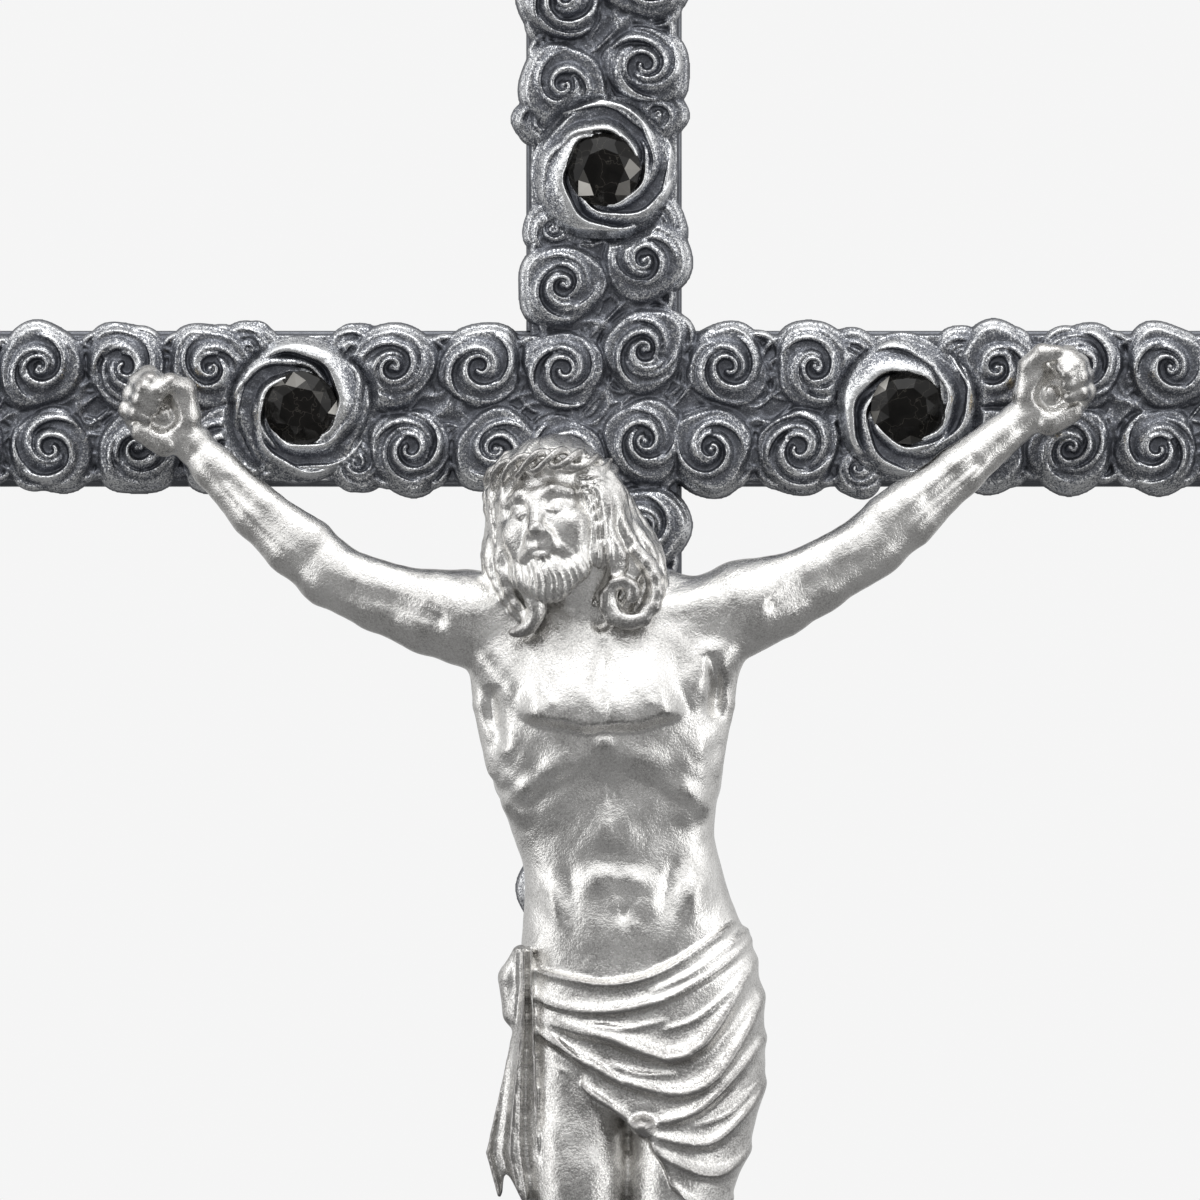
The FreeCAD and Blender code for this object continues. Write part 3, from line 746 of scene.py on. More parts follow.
def oxidised_moulding():
    """The blackened silver of the base: dark in the hollows, rubbed pale along its beads."""
    m = Surface("oxidised_moulding", 1.0, 0.4)
    grain = m.noise(0.22, 3.0, 0.6)
    patches = m.noise(5.0, 4.0, 0.6)
    broad = m.noise(24.0, 2.0)
    rubbed = m.sum((m.value_of("wear_and_shade"), 0.75), (grain, 0.35), (patches, 0.45), (broad, 0.25))
    shade = m.ramp(
        m.spread(rubbed, 0.05, 1.25, 0.0, 1.0),
        (0.0, (0.050, 0.053, 0.062)),
        (0.35, (0.115, 0.120, 0.138)),
        (0.55, (0.20, 0.207, 0.228)),
        (0.75, (0.46, 0.47, 0.49)),
        (0.95, (0.74, 0.75, 0.76)),
    )
    rough = m.spread(rubbed, 0.2, 1.1, 0.50, 0.28)
    return m.finish(shade, rough, (m.noise(0.26), 0.014), (patches, 0.05))


def bright_silver():
    """Silver plate on a fine sand casting: satin, grainy in places, darker in its creases, partly patina
    and partly painted shade.
    """
    m = Surface("bright_silver", 1.0, 0.25)
    m.shader.inputs["Base Color"].default_value = (0.92, 0.91, 0.89, 1)
    grain = m.noise(0.26, 2.0, 0.7)
    fine = m.noise(0.14, 1.0)
    patches = m.noise(3.2, 3.0, 0.6)
    tone = m.sum(
        (m.spread(grain, 0.36, 0.64, -1.0, 1.0), 0.10), (m.spread(fine, 0.36, 0.64, -1.0, 1.0), 0.08),
        (patches, 0.50), (m.noise(11.0), 0.35),
    )
    # painted shade: the colour darkens with how deep a point lies in a crease, standing partly for patina
    # and partly for shade
    deep = m.spread(m.value_of("crease"), 0.02, 0.16, 0.0, 0.30)
    place = m.tree.nodes.new("ShaderNodeSeparateXYZ")
    m.link(m.place, place.inputs["Vector"])
    hips = (CROSS_Z - 56) * MM
    dull = m.spread(place.outputs["Z"], hips - 4 * MM, hips + 2 * MM, 0.17, 0.0)  # darker below the hips
    shade = m.ramp(
        m.sum((tone, 1.0), (deep, -1.0), (dull, -1.0)),
        (0.05, (0.40, 0.39, 0.38)), (0.34, (0.80, 0.79, 0.77)), (0.58, (0.96, 0.95, 0.93)),
    )
    rough = m.spread(patches, 0.35, 0.65, 0.16, 0.28)
    sandy = m.product(grain, m.spread(patches, 0.36, 0.62, 0.55, 1.0))
    return m.finish(shade, rough, (sandy, 0.060), (fine, 0.014), (m.noise(0.7), 0.022))


def dark_stone():
    """Near-black stone with a brown cast and fine paler veins, polished, and painted glints on a few
    facets.
    """
    m = Surface("dark_stone", 0.0, 0.03, IOR=1.33)
    veins = m.tree.nodes.new("ShaderNodeTexVoronoi")
    veins.feature = "DISTANCE_TO_EDGE"
    veins.inputs["Scale"].default_value = 1 / (2.6 * MM)
    bent = m.tree.nodes.new("ShaderNodeVectorMath")
    bent.operation = "MULTIPLY_ADD"
    warp = m.tree.nodes.new("ShaderNodeTexNoise")
    warp.inputs["Scale"].default_value = 1 / (1.3 * MM)
    m.link(m.place, warp.inputs["Vector"])
    m.link(warp.outputs["Color"], bent.inputs[0])
    bent.inputs[1].default_value = (2.2 * MM,) * 3
    m.link(m.place, bent.inputs[2])
    m.link(bent.outputs[0], veins.inputs["Vector"])
    body = m.ramp(
        veins.outputs["Distance"],
        (0.0, (0.050, 0.046, 0.040)),
        (0.013, (0.007, 0.0064, 0.0057)),
        (0.3, (0.003, 0.0027, 0.0023)),
    )
    lit = m.tree.nodes.new("ShaderNodeMix")  # light thrown back out of a few facets
    lit.data_type = "RGBA"
    m.link(m.value_of("glint"), lit.inputs[0])
    m.link(body, lit.inputs[6])
    lit.inputs[7].default_value = (0.62, 0.60, 0.56, 1)
    m.link(lit.outputs[2], m.shader.inputs["Base Color"])
    return m.material


def fixing(name, colour):
    """Machined metal of a screw, nut or plate, with a little tarnish."""
    m = Surface(name, 1.0, 0.3)
    size = 0.3
    tone = m.sum((m.noise(size, 3.0), 0.4), (m.noise(2.5, 3.0), 0.6))
    dull = tuple(c * 0.55 for c in colour)
    shade = m.ramp(tone, (0.3, dull), (0.65, colour))
    return m.finish(shade, m.spread(tone, 0.3, 0.7, 0.42, 0.24), (m.noise(size), 0.006))


def felt():
    """Pressed wool under the base."""
    m = Surface("felt", 0.0, 0.95, Sheen_Weight=0.4)
    fibre = m.noise(0.25, 4.0, 0.7)
    shade = m.ramp(fibre, (0.3, (0.012, 0.014, 0.016)), (0.7, (0.045, 0.050, 0.056)))
    m.link(shade, m.shader.inputs["Base Color"])
    m.bump((fibre, 0.12))
    return m.material


# --- forms of the figure ---
# A form is a function from points (n, 3) to distances in mm, below zero inside.
def vec(*numbers):
    return np.array(numbers, np.float32)


def ball(p, middle, radius):
    return np.linalg.norm(p - vec(*middle), axis=1) - radius


def oval(p, middle, radii, turn=None):
    """An ellipsoid; turn is a matrix whose rows are its axes."""
    q = p - vec(*middle)
    if turn is not None:
        q = q @ np.asarray(turn, np.float32).T
    q = q / vec(*radii)
    near = np.linalg.norm(q, axis=1)
    slope = np.linalg.norm(q / vec(*radii), axis=1)
    return near * (near - 1) / np.maximum(slope, 1e-6)


def limb(p, a, b, r_a, r_b):
    """A tapered rod with round ends."""
    a, b = vec(*a), vec(*b)
    line = b - a
    t = np.clip((p - a) @ line / float(line @ line), 0, 1)
    return np.linalg.norm(p - a - t[:, None] * line, axis=1) - (r_a + (r_b - r_a) * t)


def soft(a, b, k):
    """Union with a fillet of about k."""
    h = np.clip(0.5 + 0.5 * (b - a) / k, 0, 1)
    return b + (a - b) * h - k * h * (1 - h)


def melt(k, *forms):
    total = forms[0]
    for form in forms[1:]:
        total = soft(total, form, k)
    return total


def carve(a, b, k):
    """Takes b out of a, with rounded edges."""
    return -soft(-a, b, k)


def rope(p, points, radii, k=0.3):
    """A chain of tapered rods."""
    total = None
    for a, b, r_a, r_b in zip(points, points[1:], radii, radii[1:]):
        part = limb(p, a, b, r_a, r_b)
        total = part if total is None else soft(total, part, k)
    return total


FAR_OFF = 50.0  # a distance that stands for nothing near


def only_near(form, low, high, p, reach=2.6):
    """Works a form out only where points are near its box; elsewhere it's far away."""
    inside = np.all((p > vec(*low) - reach) & (p < vec(*high) + reach), axis=1)
    total = np.full(len(p), FAR_OFF, np.float32)
    if inside.any():
        total[inside] = form(p[inside])
    return total


def spin(yaw, pitch, roll):
    """A head's turn in degrees: it nods about X, then leans about Y, then turns about Z."""
    a, b, c = (math.radians(v) for v in (yaw, pitch, roll))
    about_z = np.array([[math.cos(a), -math.sin(a), 0], [math.sin(a), math.cos(a), 0], [0, 0, 1]])
    about_x = np.array([[1, 0, 0], [0, math.cos(b), -math.sin(b)], [0, math.sin(b), math.cos(b)]])
    about_y = np.array([[math.cos(c), 0, math.sin(c)], [0, 1, 0], [-math.sin(c), 0, math.cos(c)]])
    return about_z @ about_y @ about_x


# --- head ---
# In the head's own frame X is its side, -Y is where the face looks and Z is up, with the
# origin between the eyes' level and the ears. Thirds: hairline, brow, nose base and chin.
HEAD_AT = (-4.9, -12.8, -10.4)
HEAD_TURN = spin(-17, -5, -10)
BROW, NOSE_BASE = 0.9, -3.1
EYE_OUT, MOUTH = 1.85, -4.55


def to_head(p):
    return (p - vec(*HEAD_AT)) @ HEAD_TURN.astype(np.float32)


def mirrored(q):
    """Points with both sides laid on one, for what is the same on the left and the right."""
    q = q.copy()
    q[:, 0] = np.abs(q[:, 0])
    return q


def face(q):
    skull = oval(q, (0, 0.7, 1.9), (4.9, 6.2, 5.3))
    front = oval(q, (0, -1.3, -2.0), (4.15, 4.7, 5.3))
    jaw = oval(q, (0, -2.7, -5.1), (2.7, 2.9, 2.1))
    d = melt(1.2, skull, front, jaw)
    m = mirrored(q)
    d = soft(d, oval(m, (2.8, -3.0, -3.6), (1.5, 2.2, 2.2)), 1.6)
    brow = ((0.5, -5.45, BROW - 0.15), (1.7, -5.35, BROW + 0.35), (3.2, -4.45, BROW - 0.1))
    d = soft(d, rope(m, brow, (0.5, 0.55, 0.4)), 1.0)
    d = soft(d, oval(m, (2.8, -4.2, -2.1), (1.5, 1.3, 1.2)), 1.6)
    d = carve(d, oval(m, (EYE_OUT, -6.7, -0.3), (1.25, 1.35, 0.95)), 0.45)
    d = soft(d, oval(m, (EYE_OUT, -4.72, -0.38), (1.12, 1.02, 0.86)), 0.10)
    fold = ((0.95, -5.85, -0.15), (EYE_OUT, -5.95, 0.32), (2.85, -5.2, -0.1))
    d = carve(d, rope(m, fold, (0.16, 0.18, 0.14)), 0.14)
    lash = ((0.95, -5.75, -0.52), (EYE_OUT, -5.82, -0.86), (2.85, -5.1, -0.55))
    d = soft(d, rope(m, lash, (0.16, 0.22, 0.14)), 0.12)
    d = soft(d, limb(q, (0, -5.35, BROW - 0.1), (0, -6.75, NOSE_BASE + 0.8), 0.55, 0.8), 0.8)
    d = soft(d, oval(q, (0, -7.0, NOSE_BASE + 0.55), (0.72, 0.75, 0.62)), 0.5)
    d = soft(d, oval(m, (0.85, -6.2, NOSE_BASE + 0.35), (0.52, 0.75, 0.5)), 0.4)
    d = carve(d, ball(m, (0.38, -6.9, NOSE_BASE - 0.16), 0.2), 0.1)
    d = soft(d, limb(m, (0.0, -6.45, MOUTH + 0.24), (1.25, -5.9, MOUTH + 0.02), 0.36, 0.18), 0.25)
    d = soft(d, limb(m, (0.0, -6.4, MOUTH - 0.50), (1.0, -5.95, MOUTH - 0.24), 0.44, 0.22), 0.25)
    return carve(d, limb(m, (0.0, -6.95, MOUTH - 0.10), (1.3, -6.3, MOUTH - 0.08), 0.18, 0.12), 0.12)


def strands(q, spacing, depth, lean=0.0):
    """Fine furrows that run down, waving a little, for hair and beard."""
    around = np.arctan2(q[:, 0], -q[:, 1])
    wave = 0.35 * np.sin(q[:, 2] * 1.1 + 2.0 * around) + lean * q[:, 2]
    ridge = np.abs(np.sin((around * 5.4 + wave) * math.pi / spacing))
    return depth * (0.5 - ridge)


def beard(q):
    """Short locks round the chin, and a moustache."""
    m = mirrored(q)
    d = oval(q, (0, -4.2, -6.9), (2.35, 2.1, 2.35))
    d = soft(d, limb(m, (4.15, -1.6, -2.6), (2.6, -3.9, -6.6), 0.85, 1.25), 0.8)
    d = soft(d, limb(m, (2.6, -3.9, -6.6), (0.5, -4.7, -8.6), 1.15, 1.0), 0.8)
    d = d + strands(q, 0.70, 0.20, 0.10)
    for x in (0.35, 1.0, 1.65, 2.3):
        bend = x * 0.9 + 0.25 * math.sin(5 * x)
        lock = ((x, -5.3 + 0.35 * x, -6.3), (bend, -5.6 + 0.35 * x, -7.6), (x * 0.6, -5.1 + 0.3 * x, -8.9))
        d = soft(d, rope(m, lock, (0.42, 0.40, 0.18)), 0.30)
    for lift, reach in ((0.0, 2.35), (0.3, 1.95), (-0.28, 2.0)):
        lip = ((0.12, -6.50, MOUTH + 1.05 + lift), (1.15, -6.1, MOUTH + 0.88 + lift))
        tache = rope(m, (*lip, (reach, -5.2, MOUTH - 0.45 + lift)), (0.24, 0.28, 0.14))
        d = soft(d, tache, 0.22)
    return d


def hair_cap(q):
    """Hair over the skull, parted in the middle and combed back and down."""
    cap = oval(q, (0, 0.9, 2.0), (5.45, 6.65, 5.65))
    aside = np.abs(q[:, 0])
    level = 3.9 - 0.35 * aside  # hairline over the forehead
    open_face = np.minimum(np.minimum(-2.2 - q[:, 1], level - q[:, 2]), 4.0 - aside)
    flow = q[:, 2] + 0.62 * aside - 0.42 * q[:, 1]
    hangs = smooth_step(2.6, 0.4, q[:, 2])  # from the temples down the strands run downwards
    flow = flow * (1 - hangs) + (1.1 * aside + 1.0 * q[:, 1] + 0.25 * np.sin(0.8 * q[:, 2])) * hangs
    flow = flow + 0.16 * np.sin(1.7 * aside + 0.8 * q[:, 2]) + 0.12 * np.sin(3.1 * aside - q[:, 1])
    broad = np.sin(2 * math.pi * flow / 1.9 + 0.9 * np.sin(0.9 * aside)) ** 2
    fine = np.sin(2 * math.pi * flow / 0.72 + 0.8 * np.sin(1.3 * aside))
    cap = soft(cap, limb(mirrored(q), (4.5, -1.9, 2.2), (4.5, -2.3, -5.5), 1.5, 1.2), 0.8)
    cap = cap - 0.30 * broad + 0.15 * fine + 0.14 + 0.3 * np.exp(-((q[:, 0] / 0.45) ** 2))
    return -soft(-cap, -open_face, 0.4)


def band(q):
    """Three twisted stems round the brow, with short thorns."""
    around = np.arctan2(q[:, 0] / 5.7, -(q[:, 1] - 0.5) / 6.5)
    out = (np.hypot(q[:, 0] / 5.7, (q[:, 1] - 0.5) / 6.5) - 1) * 6.0
    rise = q[:, 2] - 3.3 - 0.45 * np.cos(around) + 0.06 * q[:, 1] - 0.15 * np.sin(3 * around)
    d = None
    for phase in range(3):
        twist = 6 * around + 2 * math.pi * phase / 3
        stem = np.hypot(out - 0.1 - 0.5 * np.cos(twist), rise - 0.78 * np.sin(twist)) - 0.46
        d = stem if d is None else soft(d, stem, 0.1)
    for i in range(11):
        t = 2 * math.pi * i / 11 + 0.3
        root = (5.9 * math.sin(t), 0.5 - 6.7 * math.cos(t), 3.4 + 0.45 * math.cos(t))
        tip = (6.9 * math.sin(t + 0.12), 0.5 - 7.7 * math.cos(t + 0.12), root[2] + 0.85)
        d = soft(d, limb(q, root, tip, 0.28, 0.08), 0.15)
    return d


def resampled(points, count):
    """A smooth curve through points, as so many points."""
    points = np.array(points, float)
    t = np.linspace(0, len(points) - 1, count)
    i = np.clip(t.astype(int), 0, len(points) - 2)
    s = (t - i)[:, None]
    before = points[np.maximum(i - 1, 0)]
    a, b = points[i], points[i + 1]
    after = points[np.minimum(i + 2, len(points) - 1)]
    bend = 2 * before - 5 * a + 4 * b - after + s * (3 * (a - b) + after - before)
    return [tuple(c) for c in a + 0.5 * s * (b - before + s * bend)]


# Locks of hair: the curve of the middle, and radii at its start, middle and end.
LOCKS = (
    (((-0.8, -15.6, -7.4), (0.3, -16.0, -9.9), (0.0, -16.1, -12.6), (1.3, -15.9, -15.3),
      (0.4, -15.5, -17.9), (-0.9, -15.3, -19.6)), (0.8, 1.05, 0.3)),
    (((-0.6, -14.4, -6.4), (1.0, -15.0, -8.9), (1.4, -14.9, -12.0), (2.9, -14.6, -14.8),
      (2.4, -14.8, -17.6), (0.9, -15.2, -20.4)), (0.9, 1.2, 0.35)),
    (((-0.8, -12.6, -6.0), (1.0, -13.2, -8.6), (2.2, -13.0, -11.6), (4.2, -12.9, -14.6),
      (4.3, -13.3, -17.6), (3.0, -14.2, -20.6)), (0.9, 1.25, 0.4)),
    (((-0.9, -10.6, -5.8), (1.0, -11.2, -8.4), (2.6, -11.0, -11.4), (4.8, -10.9, -14.6),
      (5.4, -11.5, -17.6), (4.6, -12.6, -20.0)), (0.9, 1.2, 0.4)),
    (((-1.4, -8.4, -5.4), (0.6, -8.8, -8.6), (2.4, -8.6, -12.0), (4.6, -8.8, -15.2),
      (5.0, -9.6, -18.0)), (0.9, 1.3, 0.6)),
    (((3.2, -15.6, -14.4), (4.9, -15.7, -16.6), (5.0, -15.8, -19.2), (3.4, -15.9, -21.2),
      (1.1, -16.0, -20.9), (0.2, -16.2, -18.9), (1.4, -16.4, -17.3), (2.9, -16.5, -18.0),
      (2.7, -16.6, -19.2)), (0.7, 0.95, 0.5)),
    (((-8.7, -15.0, -6.2), (-9.7, -15.0, -9.4), (-9.2, -14.9, -12.7), (-9.9, -14.6, -15.6),
      (-9.1, -14.6, -18.6), (-7.0, -15.3, -21.8)), (0.7, 0.95, 0.3)),
    (((-9.2, -13.2, -5.4), (-10.6, -13.1, -8.8), (-10.1, -12.9, -12.2), (-10.8, -12.8, -15.2),
      (-10.1, -13.3, -18.0), (-8.2, -14.2, -21.2)), (0.8, 1.05, 0.35)),
    (((-9.2, -11.0, -5.0), (-10.9, -10.9, -8.7), (-10.6, -10.9, -12.2), (-11.1, -11.0, -15.2),
      (-10.4, -11.7, -17.8), (-9.0, -12.8, -20.2)), (0.8, 1.05, 0.35)),
    (((-9.4, -15.2, -16.4), (-7.7, -15.7, -17.8), (-6.6, -15.7, -19.9), (-7.4, -15.5, -21.9),
      (-9.0, -15.2, -22.4)), (0.5, 0.8, 0.3)),
)


def twisted(curve, sizes, seed):
    """Three strands that wind round a curve."""
    middle = np.array(resampled(curve, 15))
    t = np.linspace(0, 1, len(middle))
    size = np.interp(t, (0, 0.45, 1), sizes)
    made = []
    for i in range(3):
        turn = 2 * math.pi * (i / 3 + 0.5 * t) + seed
        shift = np.column_stack([np.cos(turn), np.sin(turn), 0 * t]) * (0.50 * size)[:, None]
        made.append((middle + shift, 0.66 * size))
    return made


STRANDS = [s for i, (curve, sizes) in enumerate(LOCKS) for s in twisted(curve, sizes, 1.7 * i)]


def locks(p):
    total = np.full(len(p), FAR_OFF, np.float32)
    for points, radii in STRANDS:
        low, high = points.min(0), points.max(0)
        total = soft(total, only_near(lambda q: rope(q, points, radii, 0.6), low, high, p, 2.4), 0.42)
    return total


def head(p):
    q = to_head(p)
    d = face(q)
    neck = limb(p, (-3.2, -11.4, -14.5), (-0.2, -9.2, -23.5), 3.9, 4.7)
    d = soft(d, neck, 1.0)
    d = soft(d, oval(p, (0.6, -11.8, -16.6), (3.6, 3.1, 5.0)), 1.0)  # under the locks
    d = soft(d, beard(q), 0.7)
    d = soft(d, hair_cap(q), 0.25)
    nape = oval(p, (-4.3, -8.0, -10.8), (6.4, 4.6, 7.2))
    d = soft(d, nape + strands(q, 1.1, 0.16), 0.8)
    d = soft(d, locks(p), 0.55)
    return soft(d, band(q), 0.12)


# --- trunk ---
def rounded_table(stations, spread=1.2):
    """Stations along z, resampled every half millimetre with their corners rounded off."""
    rows = np.array(sorted(stations))
    z = np.arange(rows[0, 0], rows[-1, 0] + 0.25, 0.5)
    reach = int(6 * spread)
    bell = np.exp(-0.5 * (np.arange(-reach, reach + 1) * 0.5 / spread) ** 2)
    columns = [np.interp(z, rows[:, 0], rows[:, i]) for i in range(1, rows.shape[1])]
    columns = [np.pad(c, reach, mode="edge") for c in columns]
    return z, np.column_stack([np.convolve(c, bell / bell.sum(), "valid") for c in columns])


# z, middle x, middle y, half width, depth in front, depth behind
TRUNK = rounded_table((
    (-17.5, 0.2, -9.0, 5.0, 3.2, 3.2),
    (-20.5, 0.2, -9.0, 11.0, 5.3, 4.0),
    (-24.0, 0.1, -9.2, 13.1, 6.0, 5.2),
    (-27.0, 0.0, -9.4, 12.9, 6.3, 6.0),
    (-30.4, -0.1, -9.6, 12.3, 6.6, 6.3),
    (-34.2, -0.1, -9.6, 11.7, 6.3, 6.3),
    (-37.1, 0.4, -9.5, 10.9, 5.8, 6.0),
    (-39.6, 0.6, -9.4, 10.5, 5.4, 5.7),
    (-42.4, 0.8, -9.3, 9.9, 5.0, 5.4),
    (-45.5, 1.9, -9.3, 9.7, 5.1, 5.3),
    (-48.0, 2.2, -9.4, 10.0, 5.25, 5.6),
    (-51.2, 2.8, -9.6, 10.8, 5.4, 6.1),
    (-55.0, 3.2, -9.8, 11.5, 5.4, 6.6),
    (-61.0, 3.4, -10.0, 11.8, 6.0, 6.9),
))
HIPS = rounded_table((
    (-50.5, 3.2, -9.8, 10.8, 5.6, 6.0),
    (-54.0, 3.4, -9.9, 11.7, 6.3, 6.8),
    (-57.5, 3.5, -10.0, 12.3, 6.8, 7.2),
    (-61.5, 3.7, -10.2, 12.4, 7.0, 7.4),
    (-66.0, 4.0, -10.4, 12.2, 7.2, 7.2),
    (-70.0, 3.7, -10.8, 11.7, 7.2, 6.8),
    (-74.3, 3.2, -11.2, 11.0, 7.2, 6.4),
    (-79.0, 2.4, -11.8, 9.9, 7.2, 6.2),
    (-83.0, 2.0, -12.4, 9.4, 7.0, 6.0),
))


SQUARE = 2.2  # how square a column's section is: 2 is an ellipse


def column(p, table):
    """A body through a table's sections, which are between ellipses and rectangles."""
    z, rows = table
    level = np.clip(p[:, 2], z[0], z[-1])
    mx, my, half, ahead, behind = (np.interp(level, z, row).astype(np.float32) for row in rows.T)
    x, y = p[:, 0] - mx, p[:, 1] - my
    deep = np.where(y < 0, ahead, behind)
    near = (np.abs(x / half) ** SQUARE + np.abs(y / deep) ** SQUARE) ** (1 / SQUARE)
    slope = np.hypot(x / half**2, y / deep**2)
    side = near * (near - 1) / np.maximum(slope, 1e-5)
    ends = np.maximum(z[0] - p[:, 2], p[:, 2] - z[-1])
    return -soft(-side, -ends, 2.0)


def front_of(table, x, z, out):
    """The point of a column's front at x and z, moved out by some millimetres."""
    levels, rows = table
    mx, my, half, ahead = (np.interp(z, levels, rows[:, i]) for i in range(4))
    s = min(abs((x - mx) / half), 0.97)
    x = mx + math.copysign(half * s, x - mx)
    y = -ahead * (1 - s**SQUARE) ** (1 / SQUARE)
    away = np.array([(x - mx) / half**2, y / ahead**2])
    away /= np.linalg.norm(away)
    return x + out * away[0], my + y + out * away[1], z


def along(table, points, out):
    """Front points for a curve given as (x, z)."""
    return [front_of(table, x, z, out) for x, z in points]


def on_front(p):
    """One on the front of the body, fading to nothing round its sides."""
    return smooth_step(-8.2, -11.2, p[:, 1])


def swells(p, spots):
    """Gentle rises and hollows on the front: (x, z, half width, half height, rise, turn)."""
    total = np.zeros(len(p), np.float32)
    for x, z, wide, tall, rise, turn in spots:
        c, s = math.cos(math.radians(turn)), math.sin(math.radians(turn))
        dx, dz = p[:, 0] - x, p[:, 2] - z
        u, v = (c * dx + s * dz) / wide, (c * dz - s * dx) / tall
        total += rise * np.exp(-(u * u + v * v))
    return total


def ridge(p, curve, rise, above, below, count=13):
    """A rise along a curve of (x, z), run left to right, with its own width on each side."""
    points = np.array(resampled(curve, count))
    x, z = p[:, 0], p[:, 2]
    low, high = points.min(0) - 3 * max(above, below), points.max(0) + 3 * max(above, below)
    near = np.flatnonzero((x > low[0]) & (x < high[0]) & (z > low[1]) & (z < high[1]))
    total = np.zeros(len(p), np.float32)
    if not len(near):
        return total
    x, z = x[near], z[near]
    best = np.full(len(near), 99.0)
    share, over = np.zeros(len(near)), np.zeros(len(near), bool)
    for i, (a, b) in enumerate(zip(points, points[1:])):
        line = b - a
        dx, dz = x - a[0], z - a[1]
        t = np.clip((dx * line[0] + dz * line[1]) / (line @ line), 0, 1)
        away = np.hypot(dx - t * line[0], dz - t * line[1])
        closer = away < best
        best = np.where(closer, away, best)
        share = np.where(closer, (i + t) / (len(points) - 1), share)
        over = np.where(closer, line[0] * dz - line[1] * dx > 0, over)
    full = np.clip(np.sin(math.pi * share), 0, 1) ** 0.6
    total[near] = rise * full * np.exp(-((best / np.where(over, above, below)) ** 2))
    return total


# The front's muscles: x, z, half width, half height, rise, turn in degrees
MUSCLES = (
    (-4.8, -35.6, 2.4, 1.3, 0.50, 24), (4.0, -34.9, 2.2, 1.3, 0.46, -18),  # lower ribs
    (-7.8, -37.9, 1.5, 1.0, 0.34, 30), (8.2, -38.2, 1.6, 1.0, 0.36, -30),
    (0.0, -33.2, 1.0, 0.9, 0.42, 0),  # end of the breastbone
    (0.7, -37.6, 3.8, 1.8, -0.40, 0),  # hollow under the rib arch
    (0.7, -42.0, 2.5, 2.0, 0.70, 6), (2.6, -43.6, 1.5, 1.0, 0.16, -10),
    (-4.6, -41.6, 2.2, 2.6, -0.16, 0), (5.6, -41.4, 2.2, 2.6, -0.16, 0),
    (-0.4, -46.6, 1.9, 1.35, 0.55, 14), (3.3, -46.9, 1.9, 1.3, 0.50, -14),
    (0.9, -48.9, 0.8, 0.9, 0.20, 0), (1.9, -50.0, 0.60, 0.75, -0.34, 0),  # navel
    (4.3, -49.2, 1.3, 1.0, 0.26, -25), (2.4, -51.9, 4.8, 2.2, 0.30, 0),
    (9.0, -47.9, 1.6, 2.5, 0.85, -14), (-4.9, -49.0, 0.9, 2.0, 0.46, 8),
    (-3.2, -47.4, 0.8, 2.6, -0.26, 6), (6.4, -47.6, 0.9, 2.8, -0.36, -8),
)
HOLLOWS = (  # curves on the front: points, depth, width
    (((-11.0, -27.6), (-10.8, -30.6), (-10.0, -34.0)), 0.55, 0.75),
    (((10.4, -24.4), (11.0, -27.6), (10.7, -30.8)), 0.85, 0.65),
    (((-8.4, -40.2), (-5.6, -38.3), (-2.6, -36.4), (0.0, -35.0)), 0.16, 0.8),
    (((0.2, -35.0), (3.0, -36.4), (6.0, -38.6), (8.6, -40.4)), 0.16, 0.8),
    (((0.3, -34.6), (0.6, -38.0), (1.1, -42.0), (1.5, -47.6)), 0.20, 0.5),
)


def breasts(p):
    """The two plates of the chest: they grow from the collar and end in a crisp lower border."""
    x, z = p[:, 0] + 0.4, p[:, 2]
    aside = np.abs(x)
    border = -31.7 + 0.022 * aside**2 + 0.10 * np.sin(1.3 * x)
    lower = smooth_step(-0.9, 0.6, z - border)
    outer = smooth_step(8.6, 5.9, aside + 0.20 * (z + 29.0))
    grown = smooth_step(-22.4, -30.4, z)
    uneven = 1 + 0.10 * np.sin(0.9 * x + 0.5) * np.sin(0.8 * z + 1.0)
    plates = 1.45 * grown * lower * outer * uneven
    middle = x + 0.25 * np.sin(1.1 * z)
    groove = -0.34 * np.exp(-((middle / 0.8) ** 2))
    return plates + groove * smooth_step(-21.6, -25.0, z) * smooth_step(-33.0, -31.0, z)


